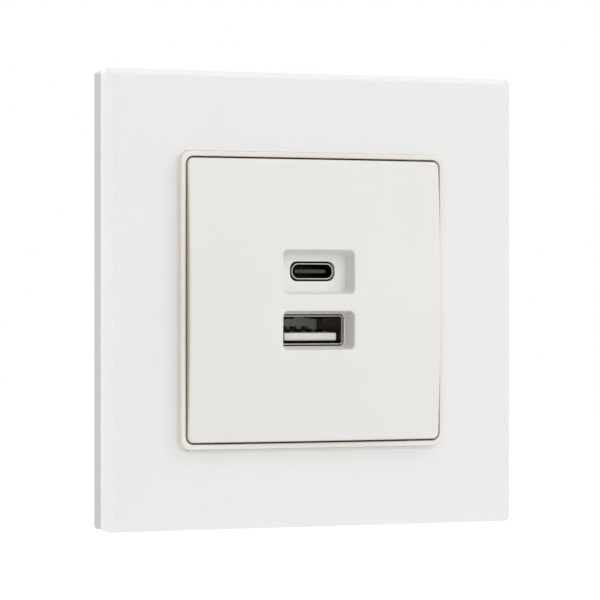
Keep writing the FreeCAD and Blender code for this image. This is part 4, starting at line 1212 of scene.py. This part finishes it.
@dataclass
class CanTops:
    """Scored aluminium tops of the capacitor cans, inside the rolled lip of their sleeves.

    Each place is a can's x, the y of its top, its z and its radius.
    """

    places: tuple[tuple[float, float, float, float], ...] = (
        (-12.0, 13.0, 12.2, 4.0), (-12.0, 13.0, 3.9, 4.0), (14.6, 16.0, 1.2, 2.6))
    lip: float = 0.75
    thickness: float = 0.1
    score: float = 0.16
    score_depth: float = 0.07
    score_end: float = 0.05
    sink: float = 0.01

    def disc(self, radius: float) -> BMesh:
        """Makes one top with a cross scored into it.

        Args:
            radius: radius of the disc.

        Returns:
            The mesh, with its rear in the plane Y = 0.
        """
        mesh = bmesh.new()
        bmesh.ops.create_circle(mesh, cap_ends=True, cap_tris=True, segments=32, radius=radius)
        bmesh.ops.rotate(mesh, matrix=Matrix.Rotation(math.radians(90), 3, "X"), verts=mesh.verts)
        made = bmesh.ops.extrude_face_region(mesh, geom=mesh.faces[:])
        bmesh.ops.translate(mesh, vec=(0, -self.thickness, 0), verts=only_verts(made["geom"]))
        spokes = [e for e in mesh.edges if any(v.co.xz.length < HAIR for v in e.verts)
                  and all(v.co.y < -self.thickness / 2 for v in e.verts)
                  and min(abs(v) for v in sum((end.co for end in e.verts), Vector()).xz) < FINE]
        groove = round_edges(mesh, spokes, self.score, segments=2)
        inner = [v for v in groove if v.is_valid and min(abs(v.co.x), abs(v.co.z)) < FINE
                 and v.co.xz.length < radius - self.score_end]
        bmesh.ops.translate(mesh, vec=(0, self.score_depth, 0), verts=inner)
        return mesh

    def build(self, shop: Workshop) -> None:
        """Makes the three tops as one piece.

        Args:
            shop: workshop that finishes it.
        """
        mesh = bmesh.new()
        for x, y, z, radius in self.places:
            disc = self.disc(radius - self.lip)
            bmesh.ops.translate(disc, vec=(x, y + self.sink, z), verts=disc.verts)
            join_into(mesh, disc)
        shop.piece(mesh, "can_tops", "solder", weighted=False)


@dataclass
class Studio:
    """Camera of the photograph, plain soft light, a pale floor and a white surround.

    A lamp has a name, a place, a diameter in metres and a power in watts.
    """

    camera_at: Point = (-0.32954, -0.65401, 0.00006)
    yaw_degrees: float = 26.77
    lens_mm: float = 229.64
    sensor_mm: float = 36.0
    clip: tuple[float, float] = (0.01, 50.0)
    floor_z: float = -0.16
    floor_size: float = 6.0
    floor_glow: float = 0.66
    floor_shade: float = 0.55
    dim: float = 0.4
    bright: float = 1.08
    dim_from: float = -0.2
    brightest: Point = (0.5, -1.0, 0.3)
    lamps: tuple[tuple[str, Point, float, float], ...] = (
        ("key_lamp", (0.8, -1.5, 1.2), 1.6, 9.5),
        ("rear_lamp", (-0.6, 1.4, 0.9), 1.0, 8.0))

    def camera(self) -> None:
        """Sets up the camera where the photograph was taken."""
        data = bpy.data.cameras.new("photo_camera")
        data.lens = self.lens_mm
        data.sensor_width = self.sensor_mm
        data.clip_start = self.clip[0]
        data.clip_end = self.clip[1]
        made = bpy.data.objects.new("photo_camera", data)
        made.location = self.camera_at
        made.rotation_euler = (math.radians(90), 0.0, math.radians(-self.yaw_degrees))
        bpy.context.scene.collection.objects.link(made)
        bpy.context.scene.camera = made

    def surround(self) -> None:
        """Sets a world that is white to look at and lights the object mostly from one side."""
        scene = bpy.context.scene
        scene.view_settings.view_transform = "Standard"
        world = bpy.data.worlds.new("surround")
        world.use_nodes = True
        scene.world = world
        tree = world.node_tree
        background = tree.nodes["Background"]
        background.inputs["Color"].default_value = (1.0, 1.0, 1.0, 1.0)
        way = tree.nodes.new("ShaderNodeTexCoord")
        facing = tree.nodes.new("ShaderNodeVectorMath")
        facing.operation = "DOT_PRODUCT"
        facing.inputs[1].default_value = Vector(self.brightest).normalized()
        tree.links.new(way.outputs["Generated"], facing.inputs[0])
        lobe = tree.nodes.new("ShaderNodeMapRange")
        limits = {"From Min": self.dim_from, "From Max": 1.0, "To Min": self.dim, "To Max": self.bright}
        for name, number in limits.items():
            lobe.inputs[name].default_value = number
        tree.links.new(facing.outputs["Value"], lobe.inputs["Value"])
        level = tree.nodes.new("ShaderNodeMix")
        tree.links.new(any_ray(tree, VIEW_RAYS), level.inputs["Factor"])
        tree.links.new(lobe.outputs["Result"], level.inputs["A"])
        level.inputs["B"].default_value = 1.0
        tree.links.new(level.outputs["Result"], background.inputs["Strength"])

    def light(self) -> None:
        """Hangs the round lamps, which look at the object."""
        for name, place, size, power in self.lamps:
            data = bpy.data.lights.new(name, "AREA")
            data.shape = "DISK"
            data.size = size
            data.energy = power
            lamp = bpy.data.objects.new(name, data)
            lamp.location = place
            lamp.rotation_mode = "QUATERNION"
            lamp.rotation_quaternion = Vector(place).to_track_quat("Z", "Y")
            bpy.context.scene.collection.objects.link(lamp)

    def floor(self) -> None:
        """Lays a pale floor that shows the object's shadow and is white where it is lit."""
        mesh = bmesh.new()
        bmesh.ops.create_grid(mesh, x_segments=2, y_segments=2, size=self.floor_size)
        bmesh.ops.translate(mesh, vec=(0, 0, self.floor_z), verts=mesh.verts)
        data = bpy.data.meshes.new("floor")
        mesh.to_mesh(data)
        mesh.free()
        made = bpy.data.objects.new("floor", data)
        bpy.context.scene.collection.objects.link(made)
        bench = Bench("floor_paint")
        bench.set(Base_Color=(0.9, 0.9, 0.9, 1.0), Roughness=0.8)
        glow = bench.node("Emission", strength=self.floor_glow)
        paint = bench.node("BsdfDiffuse")
        shade = self.floor_shade
        paint.inputs["Color"].default_value = (shade, shade, shade, 1.0)
        both = bench.node("AddShader")
        bench.link(glow.outputs["Emission"], both.inputs[0])
        bench.link(paint.outputs["BSDF"], both.inputs[1])
        bench.by_ray(VIEW_RAYS, bench.shader.outputs["BSDF"], both.outputs["Shader"])
        data.materials.append(bench.material)
        made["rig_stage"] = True

    def build(self) -> None:
        """Makes the whole set."""
        self.camera()
        self.surround()
        self.light()
        self.floor()


def corners() -> list[list[float]]:
    """Box of what is shown now, as plain lists.

    Returns:
        The lowest and the highest corner.
    """
    return [list(corner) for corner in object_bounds()]


def main() -> None:
    """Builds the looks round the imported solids."""
    logging.basicConfig(level=logging.INFO, format="%(message)s")
    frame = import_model()
    stock = Stock()
    shop = Workshop(frame, stock)
    Studio().build()
    shop.dress()
    CentrePlate().build(shop)
    TrimRing().build(shop)
    GlassPlate().build(shop)
    for name, side in (("left", -1), ("right", 1)):
        ScrewThread("claw_screw_" + name, x=side * 24.2, z=0.0, start=1.4, end=12.7, tip=13.0).build(shop)
    for name, side in (("live", -1), ("neutral", 1)):
        ScrewThread("terminal_screw_" + name, x=side * 8.2, z=-16.2, start=26.9, end=20.95,
                    tip=20.65).build(shop)
    ChokeWire().build(shop)
    SolderJoints().build(shop)
    CanTops().build(shop)
    for radius, nodes in SOFT_EDGES.items():
        for node in nodes:
            shop.soften(node, radius)


if __name__ == "__main__":
    main()
